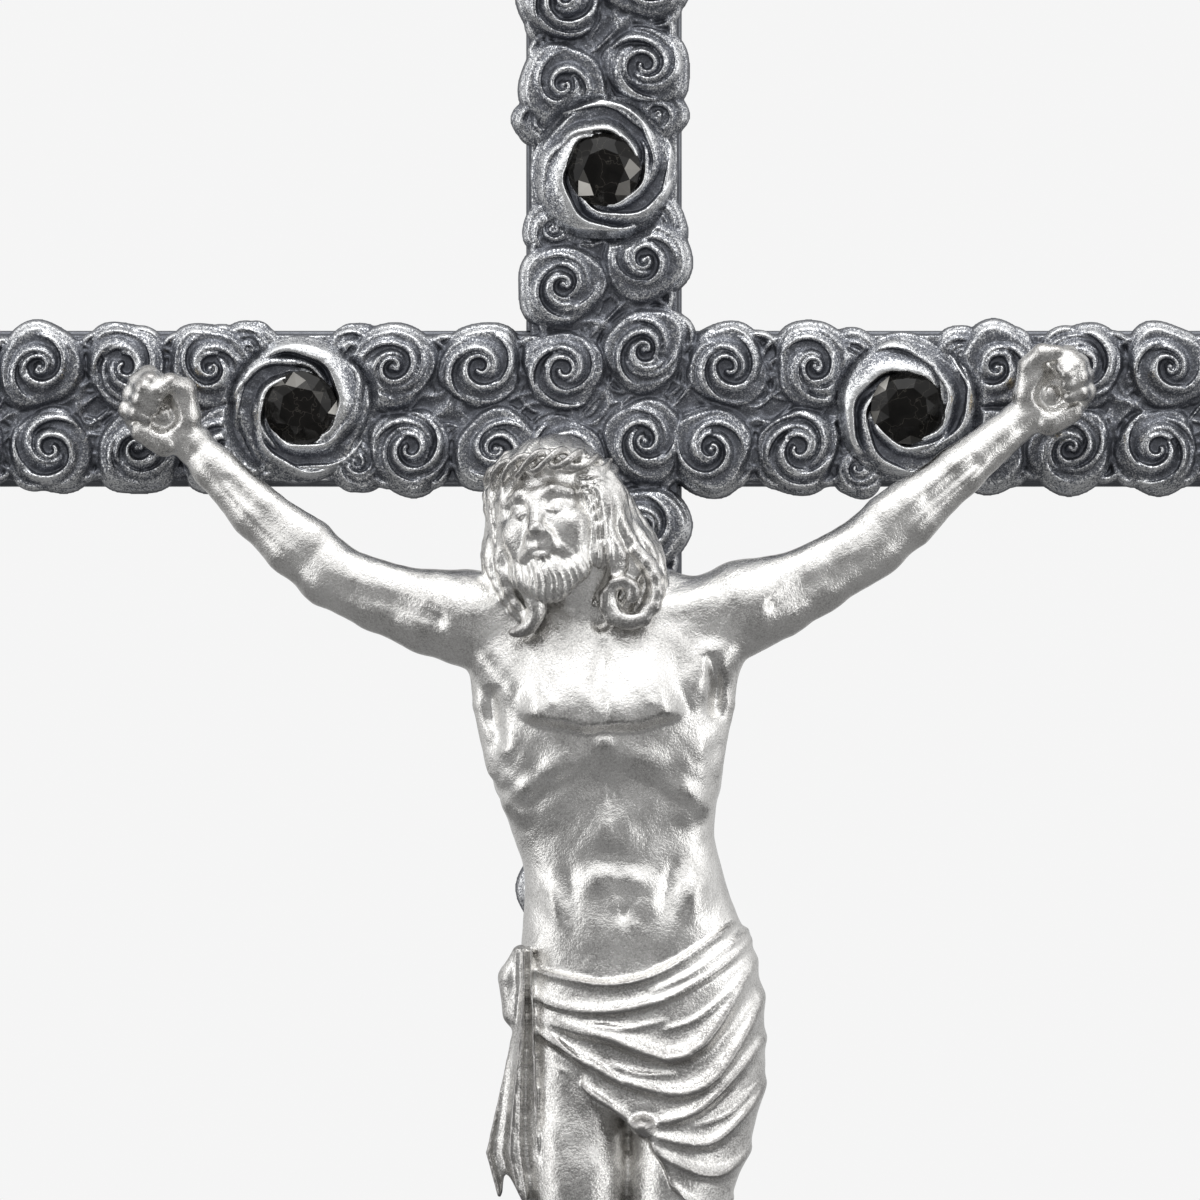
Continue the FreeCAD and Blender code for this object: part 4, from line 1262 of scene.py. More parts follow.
def torso(p):
    d = column(p, TRUNK)
    back = limb(p, (-9.8, -7.2, -24), (-8.6, -7.2, -37), 2.9, 2.2)
    back = soft(back, limb(p, (9.9, -7.2, -24), (9.2, -7.2, -37), 2.9, 2.2), 0.5)
    d = soft(d, back, 1.8)
    for side in (-1, 1):
        # the fold in front of each armpit, the collar bone and the shoulder's slope
        d = soft(d, limb(p, (side * 8.6, -12.9, -27.6), (side * 13.0, -10.4, -22.2), 1.6, 2.7), 1.8)
        d = soft(d, limb(p, (side * 1.6, -13.2, -20.8), (side * 10.4, -11.5, -19.3), 0.7, 0.9), 1.4)
        d = soft(d, limb(p, (side * 5.0, -10.0, -20.6), (side * 12.0, -9.4, -20.2), 2.6, 3.2), 1.8)
        d = soft(d, limb(p, (side * 3.0, -8.4, -17.6), (side * 10.0, -8.8, -20.0), 2.2, 2.4), 1.8)
        fold = ((side * 12.2, -10.4, -24.4), (side * 11.9, -11.0, -29.5), (side * 10.7, -11.2, -36.0))
        d = soft(d, rope(p, fold, (0.8, 0.9, 0.6)), 1.3)
        for i in range(3):  # the saw-toothed muscle over the ribs
            z = -33.6 - 2.6 * i
            tooth = ((side * 10.8, z + 1.2), (side * 9.4, z - 0.2), (side * 8.2, z - 1.0))
            d = soft(d, rope(p, along(TRUNK, tooth, -0.75), (0.4, 0.7, 0.4)), 2.0)
    d = carve(d, limb(p, (-0.3, -13.6, -19.8), (-0.3, -14.6, -21.4), 0.8, 0.4), 1.1)  # pit of the neck
    rises = swells(p, MUSCLES) + breasts(p)
    for side in (-1, 1):
        rises += swells(p, ((side * 4.9 - 0.3, -29.3, 0.5, 0.5, 0.13, 0),))
    for curve, depth, width in HOLLOWS:
        rises -= ridge(p, curve, depth, width, width, 9)
    return d - rises * on_front(p)


# --- arms ---
ARM_LEFT = (
    ((-9.0, -9.2, -22.6), 3.9), ((-13.0, -9.0, -21.4), 4.2), ((-17.4, -8.8, -20.6), 3.7),
    ((-22.4, -8.3, -19.1), 3.0), ((-26.9, -7.8, -16.6), 2.9), ((-30.4, -7.2, -14.0), 2.75),
    ((-34.6, -6.4, -10.6), 2.4), ((-38.9, -5.4, -6.0), 1.95), ((-41.2, -4.8, -3.3), 1.75),
)
ARM_RIGHT = (
    ((9.0, -9.2, -21.6), 3.9), ((13.4, -9.0, -20.4), 4.0), ((17.0, -8.8, -19.2), 3.4),
    ((20.9, -8.3, -17.4), 3.0), ((25.8, -7.8, -14.1), 2.9), ((30.3, -7.2, -10.4), 2.8),
    ((35.2, -6.4, -6.4), 2.35), ((39.6, -5.4, -2.8), 1.9), ((42.0, -4.8, -0.9), 1.75),
)


def place_from(origin, *axes):
    """Gives a function that turns distances along some axes from an origin into a point."""

    def at(*distances):
        point = origin
        for axis, distance in zip(axes, distances):
            point = point + axis * distance
        return point

    return at


AHEAD = np.array([0, -1.0, 0])


def arm(p, stations, side):
    d = rope(p, [s[0] for s in stations], [s[1] for s in stations], 0.8)
    shoulder, elbow, wrist = (np.array(stations[i][0]) for i in (1, 4, 8))
    at, low = (
        place_from(start, way, np.array([-way[2], 0, way[0]]) * side, AHEAD)
        for start, way in (
            (shoulder, (elbow - shoulder) / np.linalg.norm(elbow - shoulder)),
            (elbow, (wrist - elbow) / np.linalg.norm(wrist - elbow)),
        )
    )
    # deltoid, biceps above and triceps below with a furrow between them
    d = soft(d, oval(p, at(1.2, 0.5, 0.2), (4.5, 4.2, 4.1)), 2.2)
    d = soft(d, limb(p, at(5.2, 1.4, 1.1), at(11.5, 1.1, 0.9), 1.6, 1.4), 2.0)
    d = soft(d, limb(p, at(4.8, -1.6, 0.6), at(12.0, -1.2, 0.5), 1.9, 1.5), 2.0)
    d = soft(d, limb(p, at(12.6, -0.6, -0.4), at(15.2, -0.9, -0.2), 1.9, 2.0), 2.0)
    furrow = (at(3.4, -0.9, 4.6), at(8.0, -0.8, 4.1), at(13.0, -1.2, 3.8))
    d = carve(d, rope(p, furrow, (0.1, 0.3, 0.1)), 1.5)
    # forearm: two bellies that run into tendons, and a hollow between them
    for belly in (
        (low(-1.6, 1.0, 0.6), low(3.6, 1.5, 0.9), low(9.0, 0.9, 0.8), low(16.5, 0.6, 0.5)),
        (low(0.0, -1.1, 0.5), low(5.0, -1.5, 0.7), low(10.0, -0.9, 0.7), low(16.5, -0.6, 0.5)),
    ):
        d = soft(d, rope(p, belly, (0.9, 1.55, 1.0, 0.7)), 1.7)
    hollow = (low(4.0, -0.5, 4.0), low(8.0, -0.4, 3.4), low(14.0, -0.3, 2.6))
    return carve(d, rope(p, hollow, (0.1, 0.25, 0.1)), 1.2)


# --- hands ---
HAND_SCALE = 1.15


def hand(p, wrist, reach, up, curls, thumb):
    """A cupped hand, palm to the front; reach runs to the knuckles and up to the thumb's side.
    Each finger's curls are the turns of its three bones, in degrees."""
    wrist, reach, up = (np.array(v, float) for v in (wrist, reach, up))
    p = (wrist + (p - wrist) / HAND_SCALE).astype(np.float32)
    reach, up = reach / np.linalg.norm(reach), up / np.linalg.norm(up)
    rows = np.array([reach, up, AHEAD])
    at = place_from(wrist, reach, up, AHEAD)
    d = oval(p, at(2.7, 0.1, -0.2), (3.1, 2.9, 1.35), rows)
    d = soft(d, limb(p, at(-1.2, 0, 0), at(1.0, 0, 0), 1.75, 1.7), 0.6)
    d = soft(d, limb(p, at(0.9, -1.6, 0.7), at(3.0, -2.1, 0.6), 1.25, 1.05), 0.5)  # heel
    d = soft(d, limb(p, at(0.9, 1.3, 0.7), at(2.8, 2.3, 1.0), 1.35, 1.05), 0.5)  # ball of the thumb
    d = carve(d, oval(p, at(2.6, 0.1, 1.9), (1.5, 1.3, 1.0), rows), 0.6)
    for number, (turn_1, turn_2, turn_3) in enumerate(curls):
        across = 2.15 - 1.42 * number
        root = np.array((4.2 - 0.16 * abs(number - 1.2), across, -0.35))
        length = (2.15, 2.35, 2.2, 1.8)[number]
        points, angle = [root], 0.0
        for turn, share in ((turn_1, 1.0), (turn_2, 0.72), (turn_3, 0.58)):
            angle += math.radians(turn)
            step = np.array((math.cos(angle), -0.10 * (across - 0.6), math.sin(angle)))
            points.append(points[-1] + step * length * share)
        size = (0.86, 0.88, 0.85, 0.76)[number]
        radii = (size, size * 0.95, size * 0.87, size * 0.72)
        d = soft(d, rope(p, [at(*point) for point in points], radii, 0.45), 0.24)
    d = soft(d, rope(p, [at(*point) for point in thumb], (1.15, 0.95, 0.85, 0.68), 0.2), 0.3)
    nail = oval(p, at(2.5, 0.1, 1.15), (0.75, 0.75, 0.40), rows)  # its head, in the palm
    return soft(d, nail, 0.3) * HAND_SCALE


def left_hand(p):
    curls = ((35, 75, 70), (40, 80, 62), (42, 84, 60), (46, 88, 62))
    thumb = ((1.0, 1.5, 0.6), (2.6, 3.1, 1.3), (3.9, 2.6, 2.2), (4.2, 1.3, 2.8))
    return hand(p, (-41.7, -4.9, -2.9), (-0.74, 0, 0.67), (0.67, 0, 0.74), curls, thumb)


def right_hand(p):
    curls = ((34, 62, 52), (38, 64, 50), (42, 66, 50), (48, 70, 50))
    thumb = ((1.0, 1.5, 0.6), (2.5, 3.2, 1.2), (4.0, 3.4, 1.9), (5.1, 2.6, 2.5))
    return hand(p, (42.2, -4.9, -0.7), (0.78, 0, 0.62), (-0.62, 0, 0.78), curls, thumb)


# --- loincloth, legs and feet ---
# Folds over the hips, left to right: points as (x, z), rise, width above and width below.
FOLDS = (
    (((-8.6, -55.0), (-5.1, -56.0), (-0.2, -56.9), (3.9, -56.3), (7.2, -54.8), (11.4, -51.9),
      (14.6, -49.6)), 0.65, 0.30, 0.50),
    (((-8.8, -57.0), (-5.6, -58.8), (-1.6, -59.6), (2.4, -59.3), (6.8, -58.0), (11.8, -55.0),
      (15.4, -52.0)), 0.70, 0.70, 0.40),
    (((4.4, -57.7), (8.4, -55.9), (12.0, -53.5), (14.8, -51.2)), 0.45, 0.40, 0.35),
    (((-7.6, -59.8), (-3.0, -61.4), (0.2, -62.1), (3.5, -63.4), (7.0, -64.2), (10.4, -62.2),
      (13.4, -57.4), (15.6, -53.8)), 1.10, 1.00, 0.55),
    (((-8.2, -60.4), (-4.8, -62.8), (-1.0, -65.0), (2.2, -66.7), (5.4, -67.5)), 0.75, 0.70, 0.40),
    (((-8.3, -62.2), (-5.2, -64.8), (-1.6, -67.4), (1.6, -69.6), (3.9, -71.3)), 0.70, 0.55, 0.45),
    (((1.8, -65.9), (6.6, -67.6), (10.6, -66.4), (14.2, -61.6), (16.4, -57.0)), 0.90, 0.85, 0.50),
    (((3.0, -70.6), (6.6, -70.2), (9.6, -69.0), (13.4, -65.4), (16.6, -61.6)), 0.70, 0.70, 0.45),
    (((3.4, -71.2), (7.2, -72.3), (10.8, -72.3), (14.4, -69.2), (16.6, -66.0)), 0.75, 0.65, 0.45),
    (((3.8, -72.4), (8.0, -74.9), (11.9, -75.4), (16.0, -72.0)), 0.65, 0.65, 0.45),
    (((4.4, -74.4), (7.8, -77.8), (10.6, -79.4), (14.8, -76.8)), 0.60, 0.55, 0.45),
    (((5.6, -61.4), (9.2, -60.2), (13.4, -56.6)), 0.35, 0.35, 0.30),
    (((-1.8, -60.7), (2.2, -61.2), (6.2, -60.4)), 0.30, 0.35, 0.30),
    (((0.4, -64.6), (3.6, -65.6), (7.2, -65.6)), 0.30, 0.30, 0.30),
    (((-6.6, -60.2), (-3.4, -63.6), (-0.4, -66.2)), 0.30, 0.30, 0.30),
    (((8.6, -70.8), (12.2, -69.6), (15.4, -66.4)), 0.30, 0.30, 0.30),
)
THIGH_LEFT = ((-2.8, -10.6, -64.0), (-2.6, -12.4, -76.0), (-2.5, -14.4, -87.0))
THIGH_RIGHT = ((7.6, -10.6, -64.0), (7.2, -12.6, -76.0), (5.7, -14.4, -87.0))


def cloth(p):
    """The wrap over the hips, open over the figure's right thigh, with its folds."""
    wrap = column(p, HIPS)
    # lower edge: falls from the figure's right hip to the gather and on over its left thigh
    x = p[:, 0]
    edge = np.where(x < 3.5, -71.4 + (3.5 - x) * 0.86, -71.4 - np.minimum((x - 3.5) * 1.5, 9.5))
    edge = edge + 0.35 * np.sin(1.7 * x)
    behind = smooth_step(-10.5, -7.5, p[:, 1])
    edge = edge * (1 - behind) + (-80.5 + 0.4 * np.sin(1.1 * x)) * behind
    top = np.interp(
        x, (-9, -5.1, -0.2, 3.9, 7.0, 9.6, 12.5), (-54.3, -55.4, -56.3, -55.6, -54.1, -52.5, -50.6)
    )
    wrap = -soft(-wrap, -(edge - p[:, 2]) * 0.75, 0.7)
    wrap = -soft(-wrap, -(p[:, 2] - top), 0.6)
    rises = np.zeros(len(p), np.float32)
    for curve, rise, above, below in FOLDS:
        rises += ridge(p, curve, rise, above, below, 14)
    gather = np.hypot(p[:, 0] - 3.7, p[:, 2] + 70.8)
    rises += 0.9 * np.exp(-((gather / 1.3) ** 2)) - 0.30 * np.exp(-((gather - 1.5) / 0.45) ** 2)
    total = wrap - (rises - 0.25) * smooth_step(-6.5, -9.5, p[:, 1])
    total = soft(total, only_near(hanging_end, (-12, -16, -79), (-5, -9, -56), p), 0.5)
    total = soft(total, only_near(side_roll, (-11, -15, -63), (-6, -8, -51), p), 1.0)
    pleats_behind = 0.26 * np.sin(1.9 * x + 0.07 * p[:, 2]) * smooth_step(-9.0, -6.0, p[:, 1])
    return total + pleats_behind


def side_roll(p):
    """Where the cloth is tucked in above its free end."""
    return rope(p, ((-8.2, -12.6, -53.9), (-9.0, -11.8, -56.4), (-8.8, -11.8, -60.0)), (0.8, 1.4, 1.2))


def hanging_end(p):
    """The cloth's free end at the figure's right side: a pleated sheet with a zigzag hem."""
    x, y, z = p.T
    left = np.interp(
        z, (-78.0, -75.0, -73.5, -66.4, -61.1, -57.0), (-10.4, -11.2, -11.6, -10.0, -8.9, -8.4)
    )
    right = np.interp(z, (-78.0, -70.0, -62.0, -57.0), (-6.0, -6.5, -6.8, -7.0))
    across = (x - left) / (right - left)
    wave = 2 * math.pi * 1.8 * across + 0.09 * (z + 58) + 0.6
    middle = -12.5 - 1.5 * across - 0.05 * (-58 - z) + 0.62 * np.sin(wave) + 0.12 * np.sin(2.7 * wave)
    sheet = (np.abs(y - middle) - 0.95) * 0.6
    hem = -76.6 + 1.25 * np.sin(wave - 0.8) - 1.2 * across
    return -soft(-sheet, -np.maximum(np.maximum(left - x, x - right), (hem - z) * 0.7), 0.5)


def thighs(p):
    left = rope(p, THIGH_LEFT, (5.3, 4.9, 4.1), 1.0)
    left = soft(left, limb(p, (-3.6, -13.4, -72.0), (-3.2, -15.6, -83.0), 3.0, 2.2), 1.2)
    right = rope(p, THIGH_RIGHT, (5.3, 4.8, 4.1), 1.0)
    right = soft(right, limb(p, (8.0, -13.2, -74.0), (7.0, -15.4, -83.0), 3.0, 2.2), 1.2)
    return soft(left, right, 0.25)


def shin(p, knee, calf, ankle, side):
    """Knee, shin and calf of one leg; side is where its outer side lies."""
    knee, calf, ankle = np.array(knee), np.array(calf), np.array(ankle)
    d = rope(p, (knee, calf, calf * 0.35 + ankle * 0.65, ankle), (3.7, 3.25, 2.5, 2.0), 1.2)
    d = soft(d, oval(p, knee + (0, -1.6, -0.2), (2.5, 2.5, 3.0)), 0.6)
    d = soft(d, limb(p, knee + (0.3 * side, -1.7, -4.2), ankle + (0, -1.2, 4), 1.3, 0.8), 0.8)
    d = soft(d, oval(p, calf + (0.9 * side, 1.4, 0.8), (2.7, 2.9, 5.6)), 1.0)
    d = soft(d, oval(p, calf + (-1.1 * side, 1.2, 1.2), (2.2, 2.6, 5.0)), 1.0)
    for edge in (-1, 1):
        dimple = knee + (edge * 2.7, -2.6, 0.4)
        d = carve(d, limb(p, dimple, dimple + (-edge * 0.8, 0.3, 3.2), 0.6, 0.5), 0.8)
    d = soft(d, ball(p, ankle + (1.7 * side, 0.2, 0.2), 0.95), 0.6)
    return soft(d, ball(p, ankle + (-1.6 * side, 0.0, 0.6), 0.95), 0.6)


def foot(p, ankle, toes, side):
    """A foot that points down, sole to the cross; side is where its little toe lies."""
    ankle, toes = np.array(ankle, float), np.array(toes, float)
    down = (toes - ankle) / np.linalg.norm(toes - ankle)
    across = np.array([1.0, 0, 0])
    across -= down * (across @ down)
    across /= np.linalg.norm(across)
    out = np.cross(down, across)
    out *= np.sign(-out[1])
    at = place_from(ankle, down, across * side, out)
    d = melt(
        0.9,
        ball(p, at(0.6, 0.1, -0.6), 2.05),
        limb(p, at(1.0, 0, 0.5), at(6.6, 0.1, 0.0), 1.9, 1.5),
        limb(p, at(2.0, -0.7, -0.3), at(7.8, -0.9, -0.3), 1.3, 1.25),
        limb(p, at(2.0, 0.9, -0.5), at(7.2, 1.3, -0.5), 1.2, 1.0),
    )
    for i, size in enumerate((0.82, 0.6, 0.56, 0.52, 0.5)):
        a = -1.45 + 0.72 * i
        tip = 10.9 - 0.16 * i - 0.10 * i * i
        toe = (at(7.0 - 0.2 * i, a * 0.95, 0.0), at(tip - 1.5, a * 1.08, 0.35), at(tip, a * 1.06, -0.15))
        d = soft(d, rope(p, toe, (size * 0.9, size * 0.95, size), 0.15), 0.22)
        d = soft(d, limb(p, at(3.4, a * 0.45, 1.25), at(7.4, a * 0.9, 0.75), 0.3, 0.3), 0.45)
    return soft(d, oval(p, at(4.6, 0.1, 1.75), (0.9, 0.5, 0.9)), 0.15)  # nail head


def legs(p):
    d = thighs(p)
    left = shin(p, (-2.5, -14.6, -91.0), (-2.3, -11.8, -100.0), (0.3, -9.6, -114.6), -1)
    right = shin(p, (5.6, -14.6, -90.0), (5.2, -10.6, -99.0), (2.2, -5.9, -113.6), 1)
    d = soft(d, soft(left, right, 0.25), 0.8)
    front_foot = foot(p, (0.4, -9.8, -115.6), (1.2, -8.6, -126.0), -1)
    back_foot = foot(p, (2.2, -5.6, -114.4), (1.3, -4.9, -125.0), 1)
    return soft(d, soft(front_foot, back_foot, 0.2), 0.5)


# --- the casting ---
MEMBERS = (  # form, two corners of the box that it lies in, and the fillet where it joins
    (head, (-12, -24, -24), (9, -3, 0), 0.35),
    (lambda p: arm(p, ARM_LEFT, -1), (-44, -15, -27), (-6, -2, 1), 1.0),
    (lambda p: arm(p, ARM_RIGHT, 1), (6, -15, -27), (44, -2, 1), 1.0),
    (left_hand, (-51, -12, -8), (-38, -2, 7), 0.4),
    (right_hand, (38, -12, -8), (51, -2, 7), 0.4),
    (legs, (-9, -20, -129), (15, -2, -58), 0.25),
    (cloth, (-14, -21, -84), (18, -2, -49), 0.18),
)


FIGURE_BACK = -1.75  # nothing of the figure lies behind this, so it clears the roses
FIGURE_STEP = 0.2
BLOCK = 8  # cells along a block of the grid
CLOSE = 1.15  # a block is worked out closely when the surface is this many widths away or less
POINTS_AT_ONCE, BLOCKS_AT_ONCE = 60000, 400


def figure(p):
    d = only_near(torso, (-16, -19, -57), (16, -1.8, -15), p)
    for form, low, high, k in MEMBERS:
        d = soft(d, only_near(form, low, high, p), k)
    x, y, z = p.T
    uneven = np.sin(1.9 * x + 1.3 * np.sin(1.1 * z)) * np.sin(1.6 * z + 1.2 * np.sin(0.9 * x + y))
    uneven += 0.5 * np.sin(3.3 * x - 2.1 * y) * np.sin(2.9 * z + 1.7 * y)
    return np.maximum(d + 0.02 * uneven, y - FIGURE_BACK)


def cells_of(counts):
    """The whole-number places in a block, one a row."""
    ways = [np.arange(count) for count in counts]
    return np.stack(np.meshgrid(*ways, indexing="ij"), -1).reshape(-1, 3)


def sampled(form, low, high, step):
    """Values of a form on a grid, worked out closely only where its surface passes."""
    low = np.array(low, float)
    width = step * BLOCK
    counts = np.ceil((np.array(high) - low) / width).astype(int)
    total = np.full(counts * BLOCK, 3 * step, np.float32)
    spots, inner = cells_of(counts), cells_of([BLOCK] * 3)
    middles = (low + (spots + 0.5) * width - step / 2).astype(np.float32)
    parts = np.array_split(middles, max(1, len(middles) // POINTS_AT_ONCE))
    values = np.concatenate([form(part) for part in parts])
    near = np.abs(values) < width * CLOSE
    for spot in spots[(~near) & (values < 0)]:
        i, j, k = spot * BLOCK
        total[i:i + BLOCK, j:j + BLOCK, k:k + BLOCK] = -3 * step
    busy = spots[near]
    for part in np.array_split(busy, max(1, len(busy) // BLOCKS_AT_ONCE)):
        cells = part[:, None, :] * BLOCK + inner[None]
        points = (low + cells * step).reshape(-1, 3).astype(np.float32)
        total[tuple(cells.reshape(-1, 3).T)] = form(points)
    return total, low


def hollowness(points, quads, rounds=14):
    """How far each point lies under its smoothed neighbourhood, in mm: positive in creases."""
    size = len(points)

    def summed(places, values):
        return np.stack([np.bincount(places, values[:, i], size) for i in range(3)], 1)

    a, b = quads.T.ravel(), np.roll(quads, -1, 1).T.ravel()  # the two ends of each edge
    count = np.maximum(np.bincount(a, minlength=size) + np.bincount(b, minlength=size), 1)
    smooth = points.copy()
    for _ in range(rounds):
        smooth = (summed(a, smooth[b]) + summed(b, smooth[a])) / count[:, None]
    corners = points[quads]
    facing = np.cross(corners[:, 2] - corners[:, 0], corners[:, 3] - corners[:, 1])
    normal = summed(quads.ravel(), np.repeat(facing, 4, 0))
    normal /= np.maximum(np.linalg.norm(normal, axis=1), 1e-9)[:, None]
    return np.einsum("ij,ij->i", smooth - points, normal)


SHOULDER = 14.0  # where the arms are soldered on
LAP = 2.0  # how far an arm's casting reaches in under the shoulder
SUNK = 0.06  # how far each casting lies under the other there, so no edge shows
CUT_DOWN_TO = -40  # the hips reach further out than the shoulders, and aren't cut
CASTINGS = (  # piece, node, two corners of its box, and its side
    ("corpus_body_cast", "corpus_body", (-15, -23, -129.5), (18, -1, 0.5), 0),
    ("corpus_arm_left_cast", "corpus_arm_left", (-50.5, -16, -27.5), (-11.4, -1, 8), -1),
    ("corpus_arm_right_cast", "corpus_arm_right", (11.4, -16, -27.5), (51.5, -1, 8), 1),
)


def corpus(material):
    for name, node, low, high, side in CASTINGS:
        def form(p):
            d = figure(p)
            if side:
                out = side * p[:, 0]
                d = d + SUNK * smooth_step(SHOULDER - LAP / 2, SHOULDER - LAP, out)
                return np.maximum(d, SHOULDER - LAP - out)
            out = np.abs(p[:, 0])
            sunk = d + SUNK * smooth_step(SHOULDER - LAP / 2, SHOULDER, out)
            trimmed = np.maximum(sunk, out - SHOULDER)
            return np.where(p[:, 2] > CUT_DOWN_TO, trimmed, d)

        values, low = sampled(form, low, high, FIGURE_STEP)
        points, quads = quads_of(values, low, FIGURE_STEP)
        crease = hollowness(points, quads)
        new_object(name, points, quads, material, (node,), {"crease": crease})


# --- moulded base ---
# These pieces are given in the model's own frame: Z from the table.
BOLT_R = 1.6
SOCKET_PLAY = 0.02
SHARP = math.radians(40)  # edges of the mouldings that turn by more than this stay sharp


def arc(off, z, radius_off, radius_z, start, end, wear_and_shade, count=7):
    """Points of a moulding: (inset from the outer edge, z, wear), angles in degrees."""
    turns = np.radians(np.linspace(start, end, count))
    return [(off + radius_off * math.cos(t), z + radius_z * math.sin(t), wear_and_shade) for t in turns]


def bead(off, z, radius):
    return arc(off, z, radius, radius, 270, 90, 0.45, 9)


def outline(half_x, half_y, corner, centre_y, z, per_corner=12, per_side=14):
    """Points round a rectangle with round corners."""
    points = []
    for k, (sx, sy) in enumerate(((1, 1), (-1, 1), (-1, -1), (1, -1))):
        cx, cy = sx * (half_x - corner), sy * (half_y - corner)
        for i in range(per_corner + 1):
            t = math.pi / 2 * (k + i / per_corner)
            points.append((cx + corner * math.cos(t), cy + corner * math.sin(t)))
        nx, ny = ((-1, 1), (-1, -1), (1, -1), (1, 1))[k]
        turn = math.pi / 2 * (k + 1)
        goal = (
            nx * (half_x - corner) + corner * math.cos(turn),
            ny * (half_y - corner) + corner * math.sin(turn),
        )
        last = points[-1]
        for i in range(1, per_side):
            s = i / per_side
            points.append((last[0] * (1 - s) + goal[0] * s, last[1] * (1 - s) + goal[1] * s))
    return [(px, py + centre_y, z) for px, py in points]


def moulded(name, half, corner, centre_y, profile, core, material):
    """A block whose outside follows a profile and whose inside follows core loops, both closed
    into one skin. Core loops are (half x, half y, corner, centre y, z)."""
    loops, wear = [], []
    for off, z, wear_and_shade in profile:
        loops.append(outline(half[0] - off, half[1] - off, max(corner - 0.5 * off, 0.4), centre_y, z))
        wear.append(wear_and_shade)
    for half_x, half_y, round_by, y, z in core:
        loops.append(outline(half_x, half_y, round_by, y, z))
        wear.append(0.0)
    count = len(loops[0])
    points = np.array([p for loop in loops for p in loop])
    faces = []
    for k in range(len(loops)):
        after = (k + 1) % len(loops)
        for i in range(count):
            j = (i + 1) % count
            faces.append([k * count + i, k * count + j, after * count + j, after * count + i])
    points[:, 2] -= CROSS_Z
    piece = new_object(
        name + "_moulded", points, faces, material, [name],
        {"wear_and_shade": np.repeat(wear, count)},
    )
    piece.data.set_sharp_from_angle(angle=SHARP)


def hole(z):
    """A core loop of the tie bolt's hole."""
    return (BOLT_R, BOLT_R, BOLT_R * 0.98, BEAM_MID, z)


def socket(z):
    """A core loop of the socket for the upright's foot."""
    half_x, half_y = BEAM_HALF + SOCKET_PLAY, (BEAM_BACK - BEAM_FRONT) / 2 + SOCKET_PLAY
    return (half_x, half_y, 0.3, BEAM_MID, z)


def rounded_edge(z, radius, wear_and_shade, under=False):
    """A rounded edge of a flat side, under it or over it."""
    return arc(radius, z, radius, radius, *((270, 180) if under else (180, 90)), wear_and_shade)


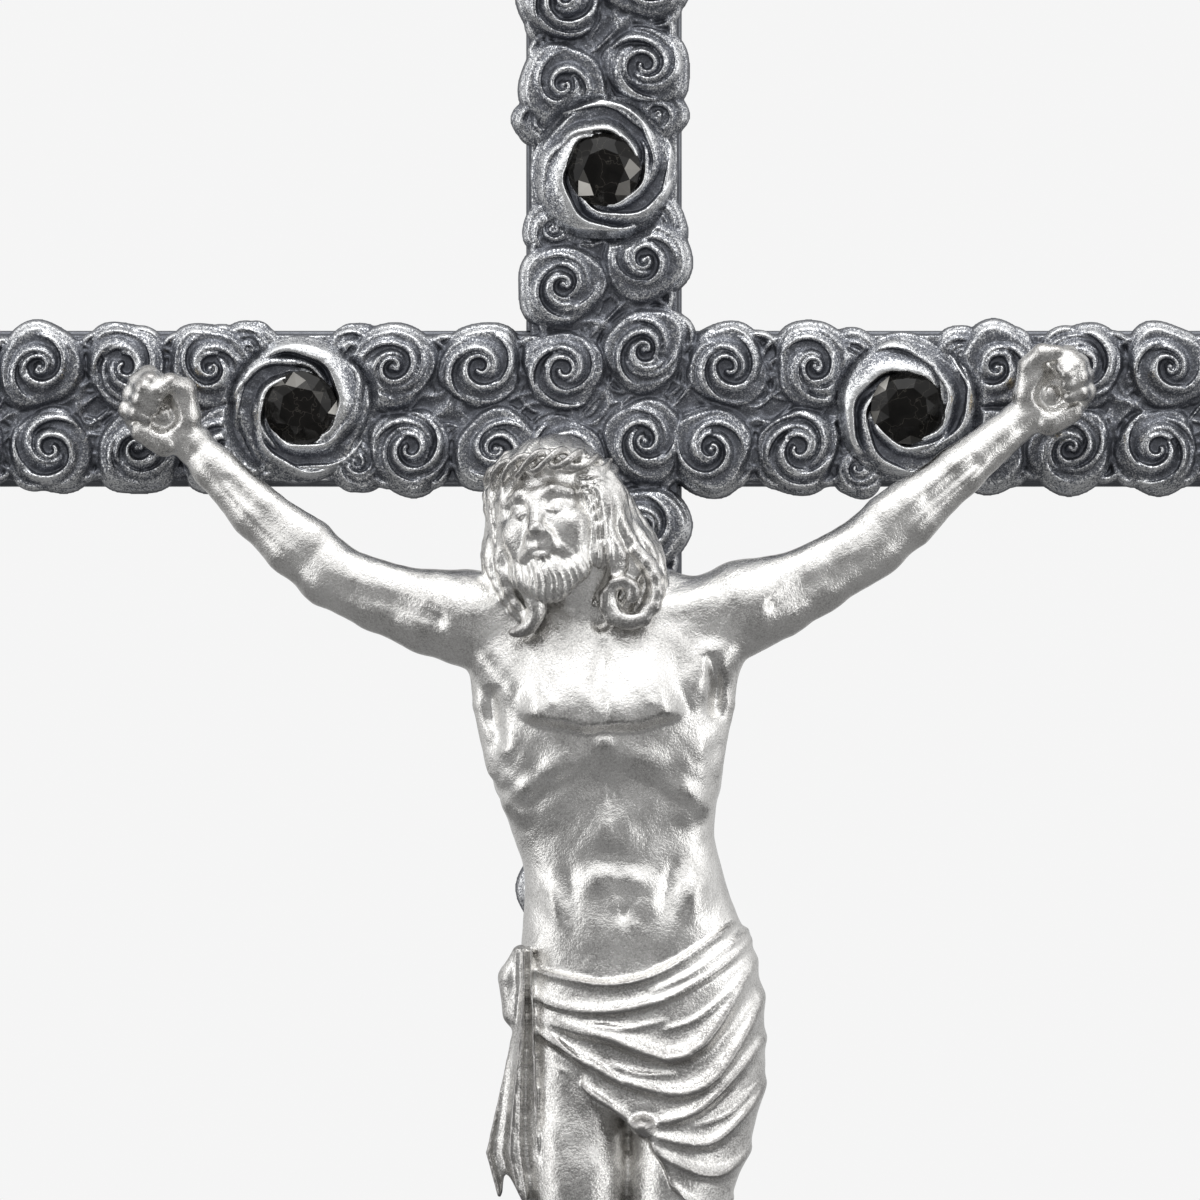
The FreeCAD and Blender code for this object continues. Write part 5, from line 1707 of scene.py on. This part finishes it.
def base_pieces(material):
    plinth = (
        rounded_edge(1.6, 0.6, 0.4, True) + [(0.0, 3.0, 0.0)] + rounded_edge(4.5, 0.5, 0.5)
        + [(0.95, 5.0, -0.3)] + bead(0.95, 5.65, 0.62) + [(0.95, 6.3, -0.3), (1.35, 6.32, 0.4)]
        + arc(1.35, 10.3, 4.0, 4.0, 278, 358, -0.15, 14) + arc(5.75, 10.6, 0.4, 0.4, 180, 90, 0.5)
        + [(7.6, 11.0, 0.0)]
    )
    pocket = [(31, 21, 3.0, 0, z) for z in (8.0, 2.5)] + [(37, 26, 2.0, 0, z) for z in (2.5, 1.0)]
    moulded("base_plinth", (42, 31), 2.2, 0, plinth, [hole(11.0), hole(8.0)] + pocket, material)

    step = (
        rounded_edge(11.35, 0.35, 0.3, True) + [(0.0, 12.8, 0.0)] + rounded_edge(14.0, 0.35, 0.5)
        + [(0.9, 14.37, -0.3), (0.9, 14.8, -0.2)] + arc(4.3, 14.9, 3.4, 3.3, 180, 96, 0.25, 14)
        + [(4.4, 18.5, -0.3)] + arc(4.8, 18.75, 0.25, 0.25, 180, 90, 0.5) + [(6.6, 19.0, 0.0)]
    )
    core = [socket(19.0), socket(13.0), hole(13.0), hole(11.0)]
    moulded("base_step", (31, 21), 1.8, 0, step, core, material)

    block = (
        rounded_edge(19.35, 0.35, 0.3, True) + [(0.0, 20.2, 0.0)] + rounded_edge(21.1, 0.35, 0.5)
        + [(0.8, 21.47, -0.3)] + bead(0.8, 21.95, 0.45) + [(0.8, 22.42, -0.3), (1.1, 22.45, 0.3)]
        + arc(1.1, 30.3, 6.2, 7.8, 278, 358, -0.1, 18)
        + [(7.3, 30.6, 0.3), (6.9, 30.62, 0.4), (6.9, 31.0, 0.4)]
    )
    core = [socket(31.0), socket(19.0)]
    moulded("socket_block", (21, 13), 1.6, BEAM_MID, block, core, material)

    collar = (
        [(0.9, 31.0, -0.2)] + bead(0.95, 32.1, 0.95) + [(1.1, 33.08, -0.3), (1.5, 33.15, 0.0)]
        + arc(1.5, 34.2, 0.4, 1.0, 280, 355, -0.2) + [(1.9, 34.4, -0.2), (1.45, 34.45, 0.3)]
        + bead(1.4, 35.05, 0.55)
        + [(1.5, 35.62, -0.3), (2.3, 35.9, 0.1), (2.95, 36.35, 0.2), (3.05, 36.6, 0.4)]
    )
    core = [socket(36.6), socket(31.0)]
    moulded("shaft_collar", (11.5, 6.0), 2.6, BEAM_MID, collar, core, material)


# --- the whole cross ---
bpy.context.scene.view_settings.view_transform = "Standard"
bpy.context.scene.view_settings.look = "None"
camera()
soft_lights()
studio_world()
studio_floor()
relief_metal = oxidised_relief()
smooth_metal = oxidised_smooth()
moulding_metal = oxidised_moulding()
silver = bright_silver()
stone = dark_stone()
brass = fixing("brass_fixing", (0.62, 0.47, 0.24))
steel = fixing("steel_fixing", (0.58, 0.58, 0.60))
wool = felt()
for surface, nodes in (
    (smooth_metal, ("upright_beam", "cross_beam")),
    (brass, ("hand_post_left", "hand_post_right", "hip_post", "foot_post", "post_nuts")),
    (steel, ("ballast_block", "tie_bolt", "tie_washer", "bottom_cover", "cover_screws")),
    (wool, ("base_pad",)),
):
    for node in nodes:
        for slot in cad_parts[node].material_slots:
            slot.material = surface

corpus(silver)
relief_panels(relief_metal)
base_pieces(moulding_metal)
settings(relief_metal)
for number, name in enumerate(SETTINGS):
    brilliant(name, number, stone)

boxes = {"cad": cad_box, "visual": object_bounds()}
{k: [list(map(float, corner)) for corner in v] for k, v in boxes.items()}
